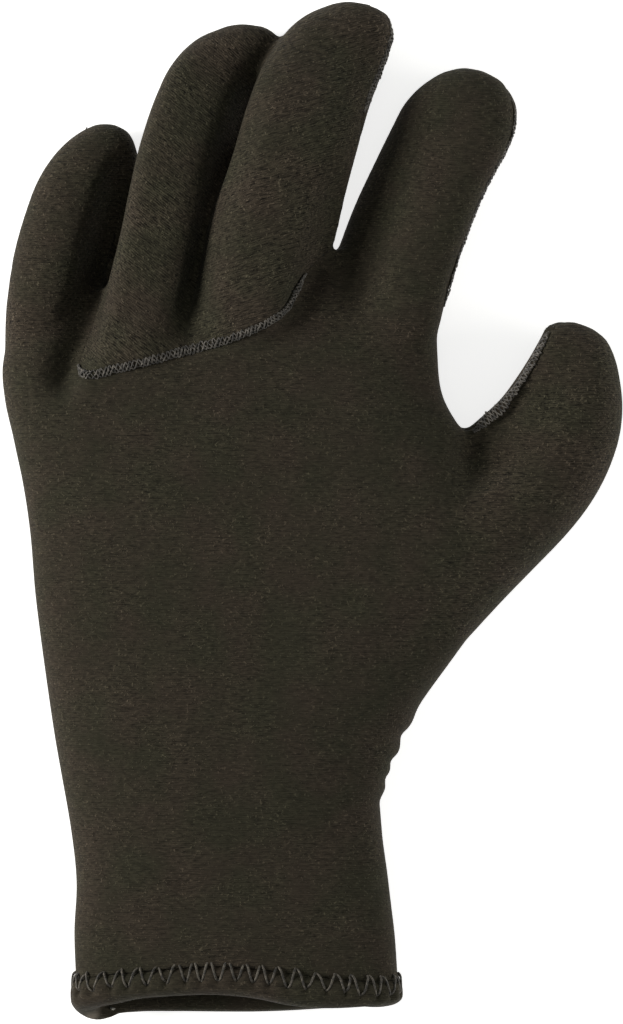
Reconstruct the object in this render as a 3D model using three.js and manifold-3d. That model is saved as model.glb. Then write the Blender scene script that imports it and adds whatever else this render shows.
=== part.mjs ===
// A diving glove for the left hand, lying on its palm with its back up.
// It is a hollow neoprene shell of three sewn panels (the back of the hand, an inset panel for the
// ring and middle fingers, and the palm), with a folded hem at the wrist and raised overlocked
// seams. Millimetres: +Y runs from the wrist to the fingertips, +X to the thumb, +Z up.
import * as THREE from 'three';
import { mergeVertices } from 'three/addons/utils/BufferGeometryUtils.js';
import Module from 'manifold-3d';

const wasm = await Module();
wasm.setup();

// Sizes of the hand of the glove
const HAND_LENGTH = 178; // wrist rim to the knuckles of the fingers
const PALM_WIDTH = 111; // across the knuckles, laid flat
const PALM_THICKNESS = 31; // of the filled-out glove, palm to back

// Sizes of the cloth and the seams
const WALL = 3; // neoprene with its jersey faces
const PANEL_GAP = 0.3; // between two panels that are sewn edge to edge
const SEAT_GAP = 0.3; // between a seam and the cloth it is sewn on
const INSET_RISE = 1.4; // how far the inset panel stands above the back of the hand at its seam
const BASE_SEAM_WIDTH = 3; // of the raised seam across the finger roots
const SIDE_SEAM_WIDTH = 2.6; // of the raised seams along the fingers and the thumb
const SEAM_HEIGHT = 0.9; // of a raised seam above the cloth

// Sizes of the folded hem
const HEM_HEIGHT = 8; // from its rim to its line of stitches
const HEM_SKEW = 1.9; // how much taller it is on the little finger's side than midway
const HEM_BULGE = 1.2; // how far it swells out past the line of stitches
const HEM_LIP = 2.8; // how far its turned-in edge reaches past the stitches, inside the glove
const RIM_ARCH = 2.2; // half the distance that the rim lies further out under the wrist than over it
const RIM_SLANT = 1.6; // half the distance that the rim rises towards the thumb

// How finely the forms are cut
const FINGER_SIDES = 16;
const PALM_SIDES = 32;
const TIP_ANGLES = [38, 66, 83]; // degrees of the rings that round a fingertip
const TIP_BLUNTNESS = 0.5; // exponent of the rings' sizes, 1 being an ellipse and less blunter
const FINGER_SQUARENESS = 2.2; // exponent of a section's outline, 2 being an ellipse
const PALM_SQUARENESS = 2.7;

// The fingers. The columns of a build: rootX and rootY place the hidden root, as shares of
// PALM_WIDTH and HAND_LENGTH, lean is in degrees towards the thumb, length is a share of
// HAND_LENGTH, width of PALM_WIDTH and depth of PALM_THICKNESS, and tipBend is where the tip ends
// sideways, as a share of the finger's length.
// Each section's columns: at and bend are shares of length (bend is towards the thumb), half is
// half the width as a share of width, lift is the centre's height and deep half the height, both
// as shares of depth.
const BUILD_COLUMNS = ['rootX', 'rootY', 'lean', 'length', 'width', 'depth', 'tipBend'];
const SECTION_COLUMNS = ['at', 'bend', 'half', 'lift', 'deep'];
const FINGERS = {
  little: {
    build: [-0.465, 0.828, 13.3, 0.4562, 0.227, 0.613, 0.035],
    sections: [
      [0.0, 0.08, 0.4, 0.66, 0.4],
      [0.2, 0.02, 0.5, 0.65, 0.5],
      [0.34, -0.018, 0.495, 0.62, 0.5],
      [0.47, -0.027, 0.514, 0.62, 0.49],
      [0.6, -0.03, 0.52, 0.6, 0.48],
      [0.73, -0.024, 0.5, 0.56, 0.46],
      [0.86, -0.004, 0.445, 0.48, 0.43],
    ],
  },
  ring: {
    build: [-0.245, 0.843, 17.4, 0.5831, 0.2207, 0.6775, 0.035],
    sections: [
      [0.0, -0.02, 0.42, 0.7, 0.38],
      [0.14, -0.029, 0.485, 0.83, 0.51],
      [0.28, -0.041, 0.458, 0.86, 0.51],
      [0.43, -0.048, 0.462, 0.87, 0.5],
      [0.58, -0.053, 0.484, 0.81, 0.48],
      [0.73, -0.064, 0.474, 0.66, 0.46],
      [0.87, -0.055, 0.465, 0.46, 0.43],
    ],
  },
  middle: {
    build: [-0.016, 0.91, 18.2, 0.5539, 0.2721, 0.71, 0.088],
    sections: [
      [0.0, 0.0, 0.42, 0.68, 0.38],
      [0.15, -0.008, 0.47, 0.83, 0.51],
      [0.3, -0.008, 0.48, 0.89, 0.51],
      [0.44, -0.008, 0.49, 0.95, 0.5],
      [0.58, -0.011, 0.484, 0.94, 0.49],
      [0.73, -0.024, 0.465, 0.81, 0.47],
      [0.87, 0.006, 0.46, 0.53, 0.44],
    ],
  },
  index: {
    build: [0.268, 0.88, 19.2, 0.4972, 0.2739, 0.71, 0.072],
    sections: [
      [0.0, -0.01, 0.42, 0.62, 0.42],
      [0.22, -0.014, 0.485, 0.62, 0.52],
      [0.36, -0.018, 0.482, 0.62, 0.51],
      [0.49, -0.019, 0.478, 0.64, 0.5],
      [0.62, -0.014, 0.472, 0.63, 0.49],
      [0.75, 0.0, 0.465, 0.57, 0.47],
      [0.87, 0.033, 0.472, 0.48, 0.44],
    ],
  },
  thumb: {
    build: [0.441, 0.585, 27.9, 0.4596, 0.3243, 0.871, -0.03],
    sections: [
      [0.0, -0.02, 0.35, 0.52, 0.38],
      [0.16, 0.013, 0.405, 0.53, 0.49],
      [0.31, 0.035, 0.461, 0.52, 0.51],
      [0.42, 0.052, 0.487, 0.5, 0.51],
      [0.54, 0.063, 0.49, 0.48, 0.5],
      [0.68, 0.083, 0.44, 0.46, 0.47],
      [0.8, 0.07, 0.372, 0.44, 0.44],
      [0.89, 0.04, 0.308, 0.42, 0.41],
    ],
  },
};

// The palm and wrist, as rungs from the little finger's side to the thumb's side. Columns: where
// each end lies, as shares of PALM_WIDTH and HAND_LENGTH, and the height of the underside and of
// the top, as shares of PALM_THICKNESS. The first rung is the hem's line of stitches.
const RUNG_COLUMNS = ['leftX', 'leftY', 'rightX', 'rightY', 'low', 'top'];
const RUNGS = [
  [-0.366, 0.065, 0.374, 0.065, 0.05, 0.79],
  [-0.368, 0.13, 0.367, 0.13, 0.03, 0.84],
  [-0.364, 0.2, 0.353, 0.2, 0.0, 0.87],
  [-0.375, 0.274, 0.338, 0.274, -0.02, 0.9],
  [-0.398, 0.353, 0.341, 0.332, -0.02, 0.95],
  [-0.419, 0.432, 0.391, 0.426, -0.02, 0.99],
  [-0.437, 0.511, 0.49, 0.512, -0.02, 1.0],
  [-0.456, 0.604, 0.598, 0.603, -0.02, 1.0],
  [-0.469, 0.697, 0.69, 0.672, -0.02, 1.0],
  [-0.485, 0.769, 0.62, 0.76, -0.02, 1.0],
  [-0.508, 0.834, 0.535, 0.835, -0.01, 0.98],
  [-0.527, 0.898, 0.482, 0.898, 0.0, 0.94],
  [-0.527, 0.955, 0.473, 0.97, 0.03, 0.88],
  [-0.47, 1.0, 0.46, 1.05, 0.09, 0.77],
  [-0.4, 1.04, 0.4, 1.12, 0.2, 0.6],
];

// The parting between the back and the palm panels: its height, as shares of PALM_THICKNESS, at
// crossings of lines that lie at shares of PALM_WIDTH and, in each row's first column, of
// HAND_LENGTH. It is high where the seam shows from above, beside the forefinger and along the
// thumb's inner edge.
const PARTING_X = [-1.2, -0.55, -0.2, 0.2, 0.47, 0.66, 0.9, 1.6];
const PARTING = [
  [-0.3, 0.42, 0.42, 0.43, 0.43, 0.43, 0.43, 0.43, 0.43],
  [0.34, 0.4, 0.4, 0.42, 0.44, 0.46, 0.46, 0.44, 0.44],
  [0.62, 0.38, 0.38, 0.45, 0.48, 0.46, 0.44, 0.34, 0.34],
  [0.86, 0.33, 0.33, 0.46, 0.52, 0.64, 0.72, 0.3, 0.32],
  [1.0, 0.32, 0.32, 0.48, 0.52, 0.58, 0.64, 0.3, 0.32],
  [1.24, 0.3, 0.3, 0.46, 0.5, 0.5, 0.5, 0.34, 0.34],
  [1.7, 0.28, 0.28, 0.36, 0.42, 0.42, 0.4, 0.34, 0.34],
];

// The seam across the roots of the ring and middle fingers, from the little finger's side, and
// the crotches where the panel's sides begin, as shares of PALM_WIDTH and HAND_LENGTH.
const BASE_SEAM = [
  [-0.356, 0.938],
  [-0.3, 0.932],
  [-0.21, 0.944],
  [-0.1, 0.966],
  [0.0, 0.985],
  [0.075, 1.004],
  [0.125, 1.028],
  [0.16, 1.062],
];
const LITTLE_RING_CROTCH = [-0.288, 1.05];
const MIDDLE_INDEX_CROTCH = [0.238, 1.1];

// Where a raised side seam runs along a finger: from and to are shares of its length, and side is
// -1 on the little finger's side and 1 on the thumb's side.
const SIDE_SEAMS = {
  middle_seam: { finger: 'middle', side: 1, from: 0.7, to: 0.98 },
  index_seam: { finger: 'index', side: 1, from: 0.12, to: 0.93 },
  thumb_seam: { finger: 'thumb', side: -1, from: 0.34, to: 0.99 },
};

const FABRIC_COLOUR = 0x2b2822;
const THREAD_COLOUR = 0x6f6d66;

const radians = THREE.MathUtils.degToRad;
const vector = (x, y, z) => new THREE.Vector3(x, y, z);
const inPlan = (p) => new THREE.Vector2(p.x, p.y);
const named = (columns, row) => Object.fromEntries(columns.map((name, i) => [name, row[i]]));
const onHand = ([x, y]) => vector(x * PALM_WIDTH, y * HAND_LENGTH, 0);

// Each finger with its build in millimetres.
const fingers = Object.fromEntries(Object.entries(FINGERS).map(([name, { build, sections }]) => {
  const { length, width, depth, ...shares } = named(BUILD_COLUMNS, build);
  return [name, {
    ...shares,
    length: length * HAND_LENGTH,
    width: width * PALM_WIDTH,
    depth: depth * PALM_THICKNESS,
    sections,
  }];
}));

// Turns a closed geometry into a solid that can be cut and joined.
function solid(geometry) {
  const bare = geometry.clone();
  bare.deleteAttribute('normal');
  bare.deleteAttribute('uv');
  const merged = mergeVertices(bare, 1e-4);
  const mesh = new wasm.Mesh({
    numProp: 3,
    vertProperties: new Float32Array(merged.attributes.position.array),
    triVerts: new Uint32Array(merged.index.array),
  });
  return new wasm.Manifold(mesh);
}

// Turns a solid back into a geometry with flat faces.
function geometryOf(shape) {
  const mesh = shape.getMesh();
  const geometry = new THREE.BufferGeometry();
  geometry.setAttribute('position', new THREE.BufferAttribute(mesh.vertProperties, 3));
  geometry.setIndex(new THREE.BufferAttribute(mesh.triVerts, 1));
  const flat = geometry.toNonIndexed();
  flat.computeVertexNormals();
  return flat;
}

// Makes a solid of points and triangles, whichever way round they run.
function solidOf(points, faces) {
  const geometry = new THREE.BufferGeometry().setFromPoints(points);
  geometry.setIndex(faces);
  const made = solid(geometry);
  if (made.volume() > 0) return made;
  geometry.setIndex([...faces].reverse());
  return solid(geometry);
}

// The triangles between neighbouring rings of as many points each.
function bands(ringCount, sides, closed) {
  const faces = [];
  const last = closed ? ringCount : ringCount - 1;
  for (let i = 0; i < last; i++) {
    const low = i * sides;
    const high = ((i + 1) % ringCount) * sides;
    for (let j = 0; j < sides; j++) {
      const k = (j + 1) % sides;
      faces.push(low + j, low + k, high + k, low + j, high + k, high + j);
    }
  }
  return faces;
}

// Skins a row of rings and closes both ends with a fan.
function loft(rings) {
  const sides = rings[0].length;
  const points = rings.flat();
  const middle = (ring) => ring.reduce((sum, p) => sum.add(p), vector(0, 0, 0)).divideScalar(sides);
  const first = points.push(middle(rings[0])) - 1;
  const last = points.push(middle(rings.at(-1))) - 1;
  const faces = bands(rings.length, sides, false);
  const end = (rings.length - 1) * sides;
  for (let j = 0; j < sides; j++) {
    const k = (j + 1) % sides;
    faces.push(first, k, j, last, end + j, end + k);
  }
  return solidOf(points, faces);
}

// The points round a section whose outline is a rounded box: half-axes across and up.
function sectionRing(centre, across, half, deep, sides, squareness) {
  const round = (v) => Math.sign(v) * Math.abs(v) ** (2 / squareness);
  return Array.from({ length: sides }, (_, j) => {
    const turn = (2 * Math.PI * j) / sides;
    return centre.clone()
      .addScaledVector(across, half * round(Math.cos(turn)))
      .add(vector(0, 0, deep * round(Math.sin(turn))));
  });
}

// An upright prism over an outline in plan, taller than anything here.
function prism(outline) {
  const geometry = new THREE.ExtrudeGeometry(new THREE.Shape(outline.map(inPlan)), {
    depth: 4 * PALM_THICKNESS,
    bevelEnabled: false,
  });
  return solid(geometry.translate(0, 0, -PALM_THICKNESS));
}

// A line in plan moved sideways, to the right of its direction.
function besideLine(line, shift) {
  return line.map((p, i) => {
    const before = line[Math.max(i - 1, 0)];
    const after = line[Math.min(i + 1, line.length - 1)];
    const ahead = after.clone().sub(before).normalize();
    return vector(p.x + ahead.y * shift, p.y - ahead.x * shift, 0);
  });
}

// The upright prism of a strip that follows a line.
function stripPrism(line, width) {
  return prism([...besideLine(line, width / 2), ...besideLine(line, -width / 2).reverse()]);
}

// The largest body of a solid: what a cut leaves, without its crumbs.
function largest(shape) {
  return shape.decompose().reduce((best, body) => (body.volume() > best.volume() ? body : best));
}

// The sections of a finger in the glove's frame, with those that round its tip, grown outwards.
function fingerSections(finger, grow) {
  const lean = radians(finger.lean);
  const along = vector(Math.sin(lean), Math.cos(lean), 0);
  const across = vector(Math.cos(lean), -Math.sin(lean), 0);
  const place = (at, bend, lift) => onHand([finger.rootX, finger.rootY])
    .addScaledVector(along, at)
    .addScaledVector(across, bend * finger.length)
    .setZ(lift * finger.depth);
  const rows = finger.sections.map((row) => named(SECTION_COLUMNS, row));
  const sections = rows.map((row) => ({
    centre: place(row.at * finger.length, row.bend, row.lift),
    half: row.half * finger.width + grow,
    deep: row.deep * finger.depth + grow,
  }));
  const end = rows.at(-1);
  const { half, deep } = sections.at(-1);
  const reach = (1 - end.at) * finger.length + grow;
  for (const angle of [...TIP_ANGLES, 90].map(radians)) {
    const bend = THREE.MathUtils.lerp(end.bend, finger.tipBend, Math.sin(angle) ** 2);
    const size = Math.max(Math.cos(angle), 0) ** TIP_BLUNTNESS;
    sections.push({
      centre: place(end.at * finger.length + reach * Math.sin(angle), bend, end.lift),
      half: half * size,
      deep: deep * size,
    });
  }
  return sections.map((section, i) => {
    const before = sections[Math.max(i - 1, 0)].centre;
    const after = sections[Math.min(i + 1, sections.length - 1)].centre;
    const ahead = inPlan(after).sub(inPlan(before)).normalize();
    return { ...section, across: vector(ahead.y, -ahead.x, 0) };
  });
}

function fingerForm(finger, grow) {
  const sections = fingerSections(finger, grow);
  const pole = sections.pop().centre;
  const rings = sections.map((s) =>
    sectionRing(s.centre, s.across, s.half, s.deep, FINGER_SIDES, FINGER_SQUARENESS));
  const point = rings.at(-1).map((p) => p.clone().lerp(pole, 0.9).setY(pole.y));
  return loft([...rings, point]);
}

// Where the rim and the line of stitches lie along the arm, at a turn round the wrist.
function rimAt(turn) {
  return RIM_ARCH * (1 + Math.sin(turn)) + RIM_SLANT * (1 + Math.cos(turn));
}

function stitchesAt(turn) {
  return rimAt(turn) + HEM_HEIGHT - HEM_SKEW * Math.cos(turn);
}

// The ring of the palm's form at one rung, grown outwards.
function rungRing(row, grow) {
  const left = onHand([row.leftX, row.leftY]);
  const right = onHand([row.rightX, row.rightY]);
  const centre = left.clone().add(right).multiplyScalar(0.5);
  centre.z = ((row.low + row.top) / 2) * PALM_THICKNESS;
  const half = left.distanceTo(right) / 2 + grow;
  const deep = ((row.top - row.low) / 2) * PALM_THICKNESS + grow;
  const across = right.sub(left).normalize();
  return sectionRing(centre, across, half, deep, PALM_SIDES, PALM_SQUARENESS);
}

const palmRows = RUNGS.map((row) => named(RUNG_COLUMNS, row));

// The palm and wrist, from the line of stitches, where the cloth's edge faces the hem squarely.
// A cavity runs out past it.
function palmForm(grow) {
  const rings = palmRows.map((row) => rungRing(row, grow));
  const edge = rungRing(palmRows[0], grow - 2 * WALL);
  const past = grow < 0 ? 2 * WALL : 0;
  for (const ring of [edge, rings[0]]) {
    ring.forEach((p, j) => {
      const turn = (2 * Math.PI * j) / PALM_SIDES;
      p.y = stitchesAt(turn) + PANEL_GAP - past;
    });
  }
  rings.at(-1).forEach((p) => p.add(vector(0, grow, 0)));
  return loft([edge, ...rings]);
}

// Everything that lies lower than a height.
function below(height) {
  const reach = 4 * HAND_LENGTH;
  const geometry = new THREE.BoxGeometry(reach, reach, reach);
  return solid(geometry.translate(0, 0, height - reach / 2));
}

// The outline of the hand, grown outwards and flattened where it rests. The inset panel's part of
// the back of the hand is raised.
function handForm(grow) {
  const raised = palmForm(INSET_RISE + grow).intersect(insetPlan);
  return Object.values(fingers)
    .map((finger) => fingerForm(finger, grow))
    .reduce((sum, form) => sum.add(form), palmForm(grow).add(raised))
    .subtract(below(-grow));
}

// The inset panel's outline in plan: across the base seam, then up between the crotches to lines
// that are hidden inside the ring and middle fingers. It is moved outwards by a distance.
const baseSeamLine = new THREE.CatmullRomCurve3(BASE_SEAM.map(onHand), false, 'centripetal')
  .getPoints(18);

function insetOutline(outwards) {
  const inside = (finger, row) => fingerSections(finger, 0)[row].centre;
  const sides = [
    onHand(MIDDLE_INDEX_CROTCH),
    inside(fingers.middle, 3),
    inside(fingers.ring, 3),
    onHand(LITTLE_RING_CROTCH),
  ];
  const line = [...baseSeamLine, ...sides].map((p) => vector(p.x, p.y, 0));
  const closed = [line.at(-1), ...line, line[0]];
  return besideLine(closed, outwards).slice(1, -1);
}

const insetPlan = prism(insetOutline(0));

// The space that the inset panel's cloth fills: over its outline on the back of the hand, and
// round the ring and middle fingers beyond it.
const FINGER_CLEARANCE = 0.2; // that the space keeps round a finger
function insetSpace(outwards) {
  const first = baseSeamLine[0];
  const last = baseSeamLine.at(-1);
  const beyond = [
    ...baseSeamLine,
    vector(last.x + PALM_WIDTH, last.y, 0),
    vector(last.x + PALM_WIDTH, 2 * HAND_LENGTH, 0),
    vector(first.x - PALM_WIDTH, 2 * HAND_LENGTH, 0),
    vector(first.x - PALM_WIDTH, first.y, 0),
  ];
  const closed = [beyond.at(-1), ...beyond, beyond[0]];
  const twoFingers = [fingers.ring, fingers.middle]
    .map((finger) => fingerForm(finger, FINGER_CLEARANCE + outwards))
    .reduce((sum, form) => sum.add(form))
    .intersect(prism(besideLine(closed, outwards).slice(1, -1)));
  return prism(insetOutline(outwards)).add(twoFingers);
}

// Everything above the parting, raised by a distance.
function aboveParting(raise) {
  const columns = PARTING_X.length;
  const rows = PARTING.length;
  const ceiling = 4 * PALM_THICKNESS;
  const layer = (height) => PARTING.flatMap(([y, ...heights]) => heights.map((share, i) =>
    vector(PARTING_X[i] * PALM_WIDTH, y * HAND_LENGTH, height ?? share * PALM_THICKNESS + raise)));
  const points = [...layer(null), ...layer(ceiling)];
  const at = (top, r, c) => (top * rows + r) * columns + c;
  const faces = [];
  const quad = (a, b, c, d) => faces.push(a, b, c, a, c, d);
  for (let r = 0; r + 1 < rows; r++) {
    for (let c = 0; c + 1 < columns; c++) {
      quad(at(0, r, c), at(0, r + 1, c), at(0, r + 1, c + 1), at(0, r, c + 1));
      quad(at(1, r, c), at(1, r, c + 1), at(1, r + 1, c + 1), at(1, r + 1, c));
    }
    const end = columns - 1;
    quad(at(0, r, 0), at(1, r, 0), at(1, r + 1, 0), at(0, r + 1, 0));
    quad(at(0, r, end), at(0, r + 1, end), at(1, r + 1, end), at(1, r, end));
  }
  for (let c = 0; c + 1 < columns; c++) {
    const end = rows - 1;
    quad(at(0, 0, c), at(0, 0, c + 1), at(1, 0, c + 1), at(1, 0, c));
    quad(at(0, end, c), at(1, end, c), at(1, end, c + 1), at(0, end, c + 1));
  }
  return solidOf(points, faces);
}

const cloth = handForm(0).subtract(handForm(-WALL));
const clothAbove = cloth.intersect(aboveParting(PANEL_GAP / 2));

const backPanel = largest(clothAbove.subtract(insetSpace(PANEL_GAP / 2)));
const fingerPanel = largest(clothAbove.intersect(insetSpace(-PANEL_GAP / 2)));
const palmPanel = largest(cloth.subtract(aboveParting(-PANEL_GAP / 2)));

// The thin layer over the cloth that the raised side seams are cut from.
const seated = handForm(SEAT_GAP);
const seamLayer = handForm(SEAT_GAP + SEAM_HEIGHT).subtract(seated);

// The seam along the inset panel's edge. It fills the step from the back of the hand up to the
// panel, and its top lies over both.
function baseSeam() {
  const grow = SEAT_GAP + SEAM_HEIGHT;
  const top = handForm(grow).add(palmForm(INSET_RISE + grow));
  const strip = stripPrism(baseSeamLine, BASE_SEAM_WIDTH).subtract(below(PALM_THICKNESS / 2));
  return largest(top.intersect(strip).subtract(seated));
}

// A raised seam that follows the parting along one edge of a finger.
function sideSeam({ finger, side, from, to }) {
  const { length } = fingers[finger];
  const sections = fingerSections(fingers[finger], 0);
  const root = inPlan(sections[0].centre);
  const held = sections.filter((s) => {
    const share = inPlan(s.centre).distanceTo(root) / length;
    return share >= from && share <= to;
  });
  const middle = held.map((s) => s.centre);
  const reach = (s) => side * (s.half + 2 * SIDE_SEAM_WIDTH);
  const outer = held.map((s) => s.centre.clone().addScaledVector(s.across, reach(s)));
  const band = aboveParting(-SIDE_SEAM_WIDTH / 2).subtract(aboveParting(SIDE_SEAM_WIDTH / 2));
  return largest(seamLayer.intersect(band).intersect(prism([...middle, ...outer.reverse()])));
}

// The folded hem, carried round the wrist. Its profile's columns: out is the distance outside the
// cloth's outer face at the stitches, and up runs from 0 at the rim to 1 at the stitches.
function cuffHem() {
  const back = -WALL - SEAT_GAP;
  const inner = -2 * WALL - SEAT_GAP;
  const lip = 1 + HEM_LIP / HEM_HEIGHT;
  const profile = [
    { out: 0, up: 1 },
    { out: 0.75 * HEM_BULGE, up: 0.82 },
    { out: HEM_BULGE, up: 0.5 },
    { out: 0.75 * HEM_BULGE, up: 0.2 },
    { out: -0.35 * WALL, up: 0 },
    { out: inner / 2 - 0.35 * WALL, up: 0 },
    { out: inner, up: 0.2 },
    { out: inner, up: lip - 0.1 },
    { out: inner + WALL / 4, up: lip },
    { out: back - WALL / 4, up: lip },
    { out: back, up: 1 },
  ];
  const section = palmRows[0];
  const rings = Array.from({ length: PALM_SIDES }, () => []);
  for (const { out, up } of profile) {
    rungRing(section, out).forEach((p, j) => {
      const turn = (2 * Math.PI * j) / PALM_SIDES;
      rings[j].push(p.setY(THREE.MathUtils.lerp(rimAt(turn), stitchesAt(turn), up)));
    });
  }
  return solidOf(rings.flat(), bands(rings.length, profile.length, true));
}

const fabric = () => new THREE.MeshStandardMaterial({ color: FABRIC_COLOUR, roughness: 0.92, metalness: 0 });
const thread = () => new THREE.MeshStandardMaterial({ color: THREAD_COLOUR, roughness: 0.8, metalness: 0 });

const pieces = [
  ['back_panel', backPanel, fabric()],
  ['finger_panel', fingerPanel, fabric()],
  ['palm_panel', palmPanel, fabric()],
  ['cuff_hem', cuffHem(), fabric()],
  ['finger_base_seam', baseSeam(), thread()],
  ...Object.entries(SIDE_SEAMS).map(([name, seam]) => [name, sideSeam(seam), thread()]),
];

// The origin is under the middle of the whole glove.
const glove = new THREE.Group();
for (const [name, shape, material] of pieces) {
  const mesh = new THREE.Mesh(geometryOf(shape), material);
  mesh.name = name;
  glove.add(mesh);
}
const bounds = new THREE.Box3().setFromObject(glove);
const middle = bounds.getCenter(vector(0, 0, 0));
for (const mesh of glove.children) {
  mesh.position.set(-middle.x, -middle.y, -bounds.min.z);
}

export default glove;
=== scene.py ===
"""A neoprene diving glove for the left hand, dressed over its solid model: the jersey-faced shell in
three sewn panels, the folded hem with its zigzag stitches and the raised overlocked seams."""

import math

import bpy
import numpy as np
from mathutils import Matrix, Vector
from mathutils.bvhtree import BVHTree


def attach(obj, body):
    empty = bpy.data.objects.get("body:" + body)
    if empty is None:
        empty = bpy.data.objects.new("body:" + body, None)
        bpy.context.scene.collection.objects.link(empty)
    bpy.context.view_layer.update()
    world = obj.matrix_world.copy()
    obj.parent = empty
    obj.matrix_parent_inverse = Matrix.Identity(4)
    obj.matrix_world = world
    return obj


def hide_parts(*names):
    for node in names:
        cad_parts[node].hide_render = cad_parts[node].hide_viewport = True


bl_info = {
    "name": "Diving glove",
    "version": (1, 0, 0),
    "blender": (4, 5, 0),
    "location": "View3D > Sidebar > Glove",
    "description": "Builds a neoprene diving glove with its seams, hem and stitches",
    "category": "Add Mesh",
}

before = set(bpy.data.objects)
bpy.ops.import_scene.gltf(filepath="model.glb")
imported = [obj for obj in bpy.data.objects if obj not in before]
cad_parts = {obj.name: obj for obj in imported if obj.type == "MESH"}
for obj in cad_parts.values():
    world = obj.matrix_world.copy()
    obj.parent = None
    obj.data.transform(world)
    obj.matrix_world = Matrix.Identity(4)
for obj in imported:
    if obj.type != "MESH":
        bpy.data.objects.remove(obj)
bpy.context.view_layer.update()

MM = 0.001
SHIFT = np.array([-19.1757, -130.658, 0.0])  # mm, from the design's origin to the frame's

# The glove as the solid model has it, in millimetres
HAND_LENGTH = 178.0
PALM_WIDTH = 111.0
PALM_THICKNESS = 31.0
HEM_HEIGHT = 8.0
HEM_BULGE = 1.2
HEM_LIP = 2.8
HEM_WALL = 3.0  # thickness of the folded cloth
HEM_SEAT = 0.3  # between the turned-in cloth and the shell
HEM_GAP = 0.1  # between the shell's end and the hem's
STITCHES_REACH = 3.2  # from the hem's height to the middle of its stitches, under the palm
ZIGZAG_REACH = 2.4  # from the zigzag's middle to its turns
ZIGZAG_DROP = 1.0  # from that line down to the zigzag's middle
FINGER_SQUARENESS = 2.2
PALM_SQUARENESS = 2.7

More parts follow.
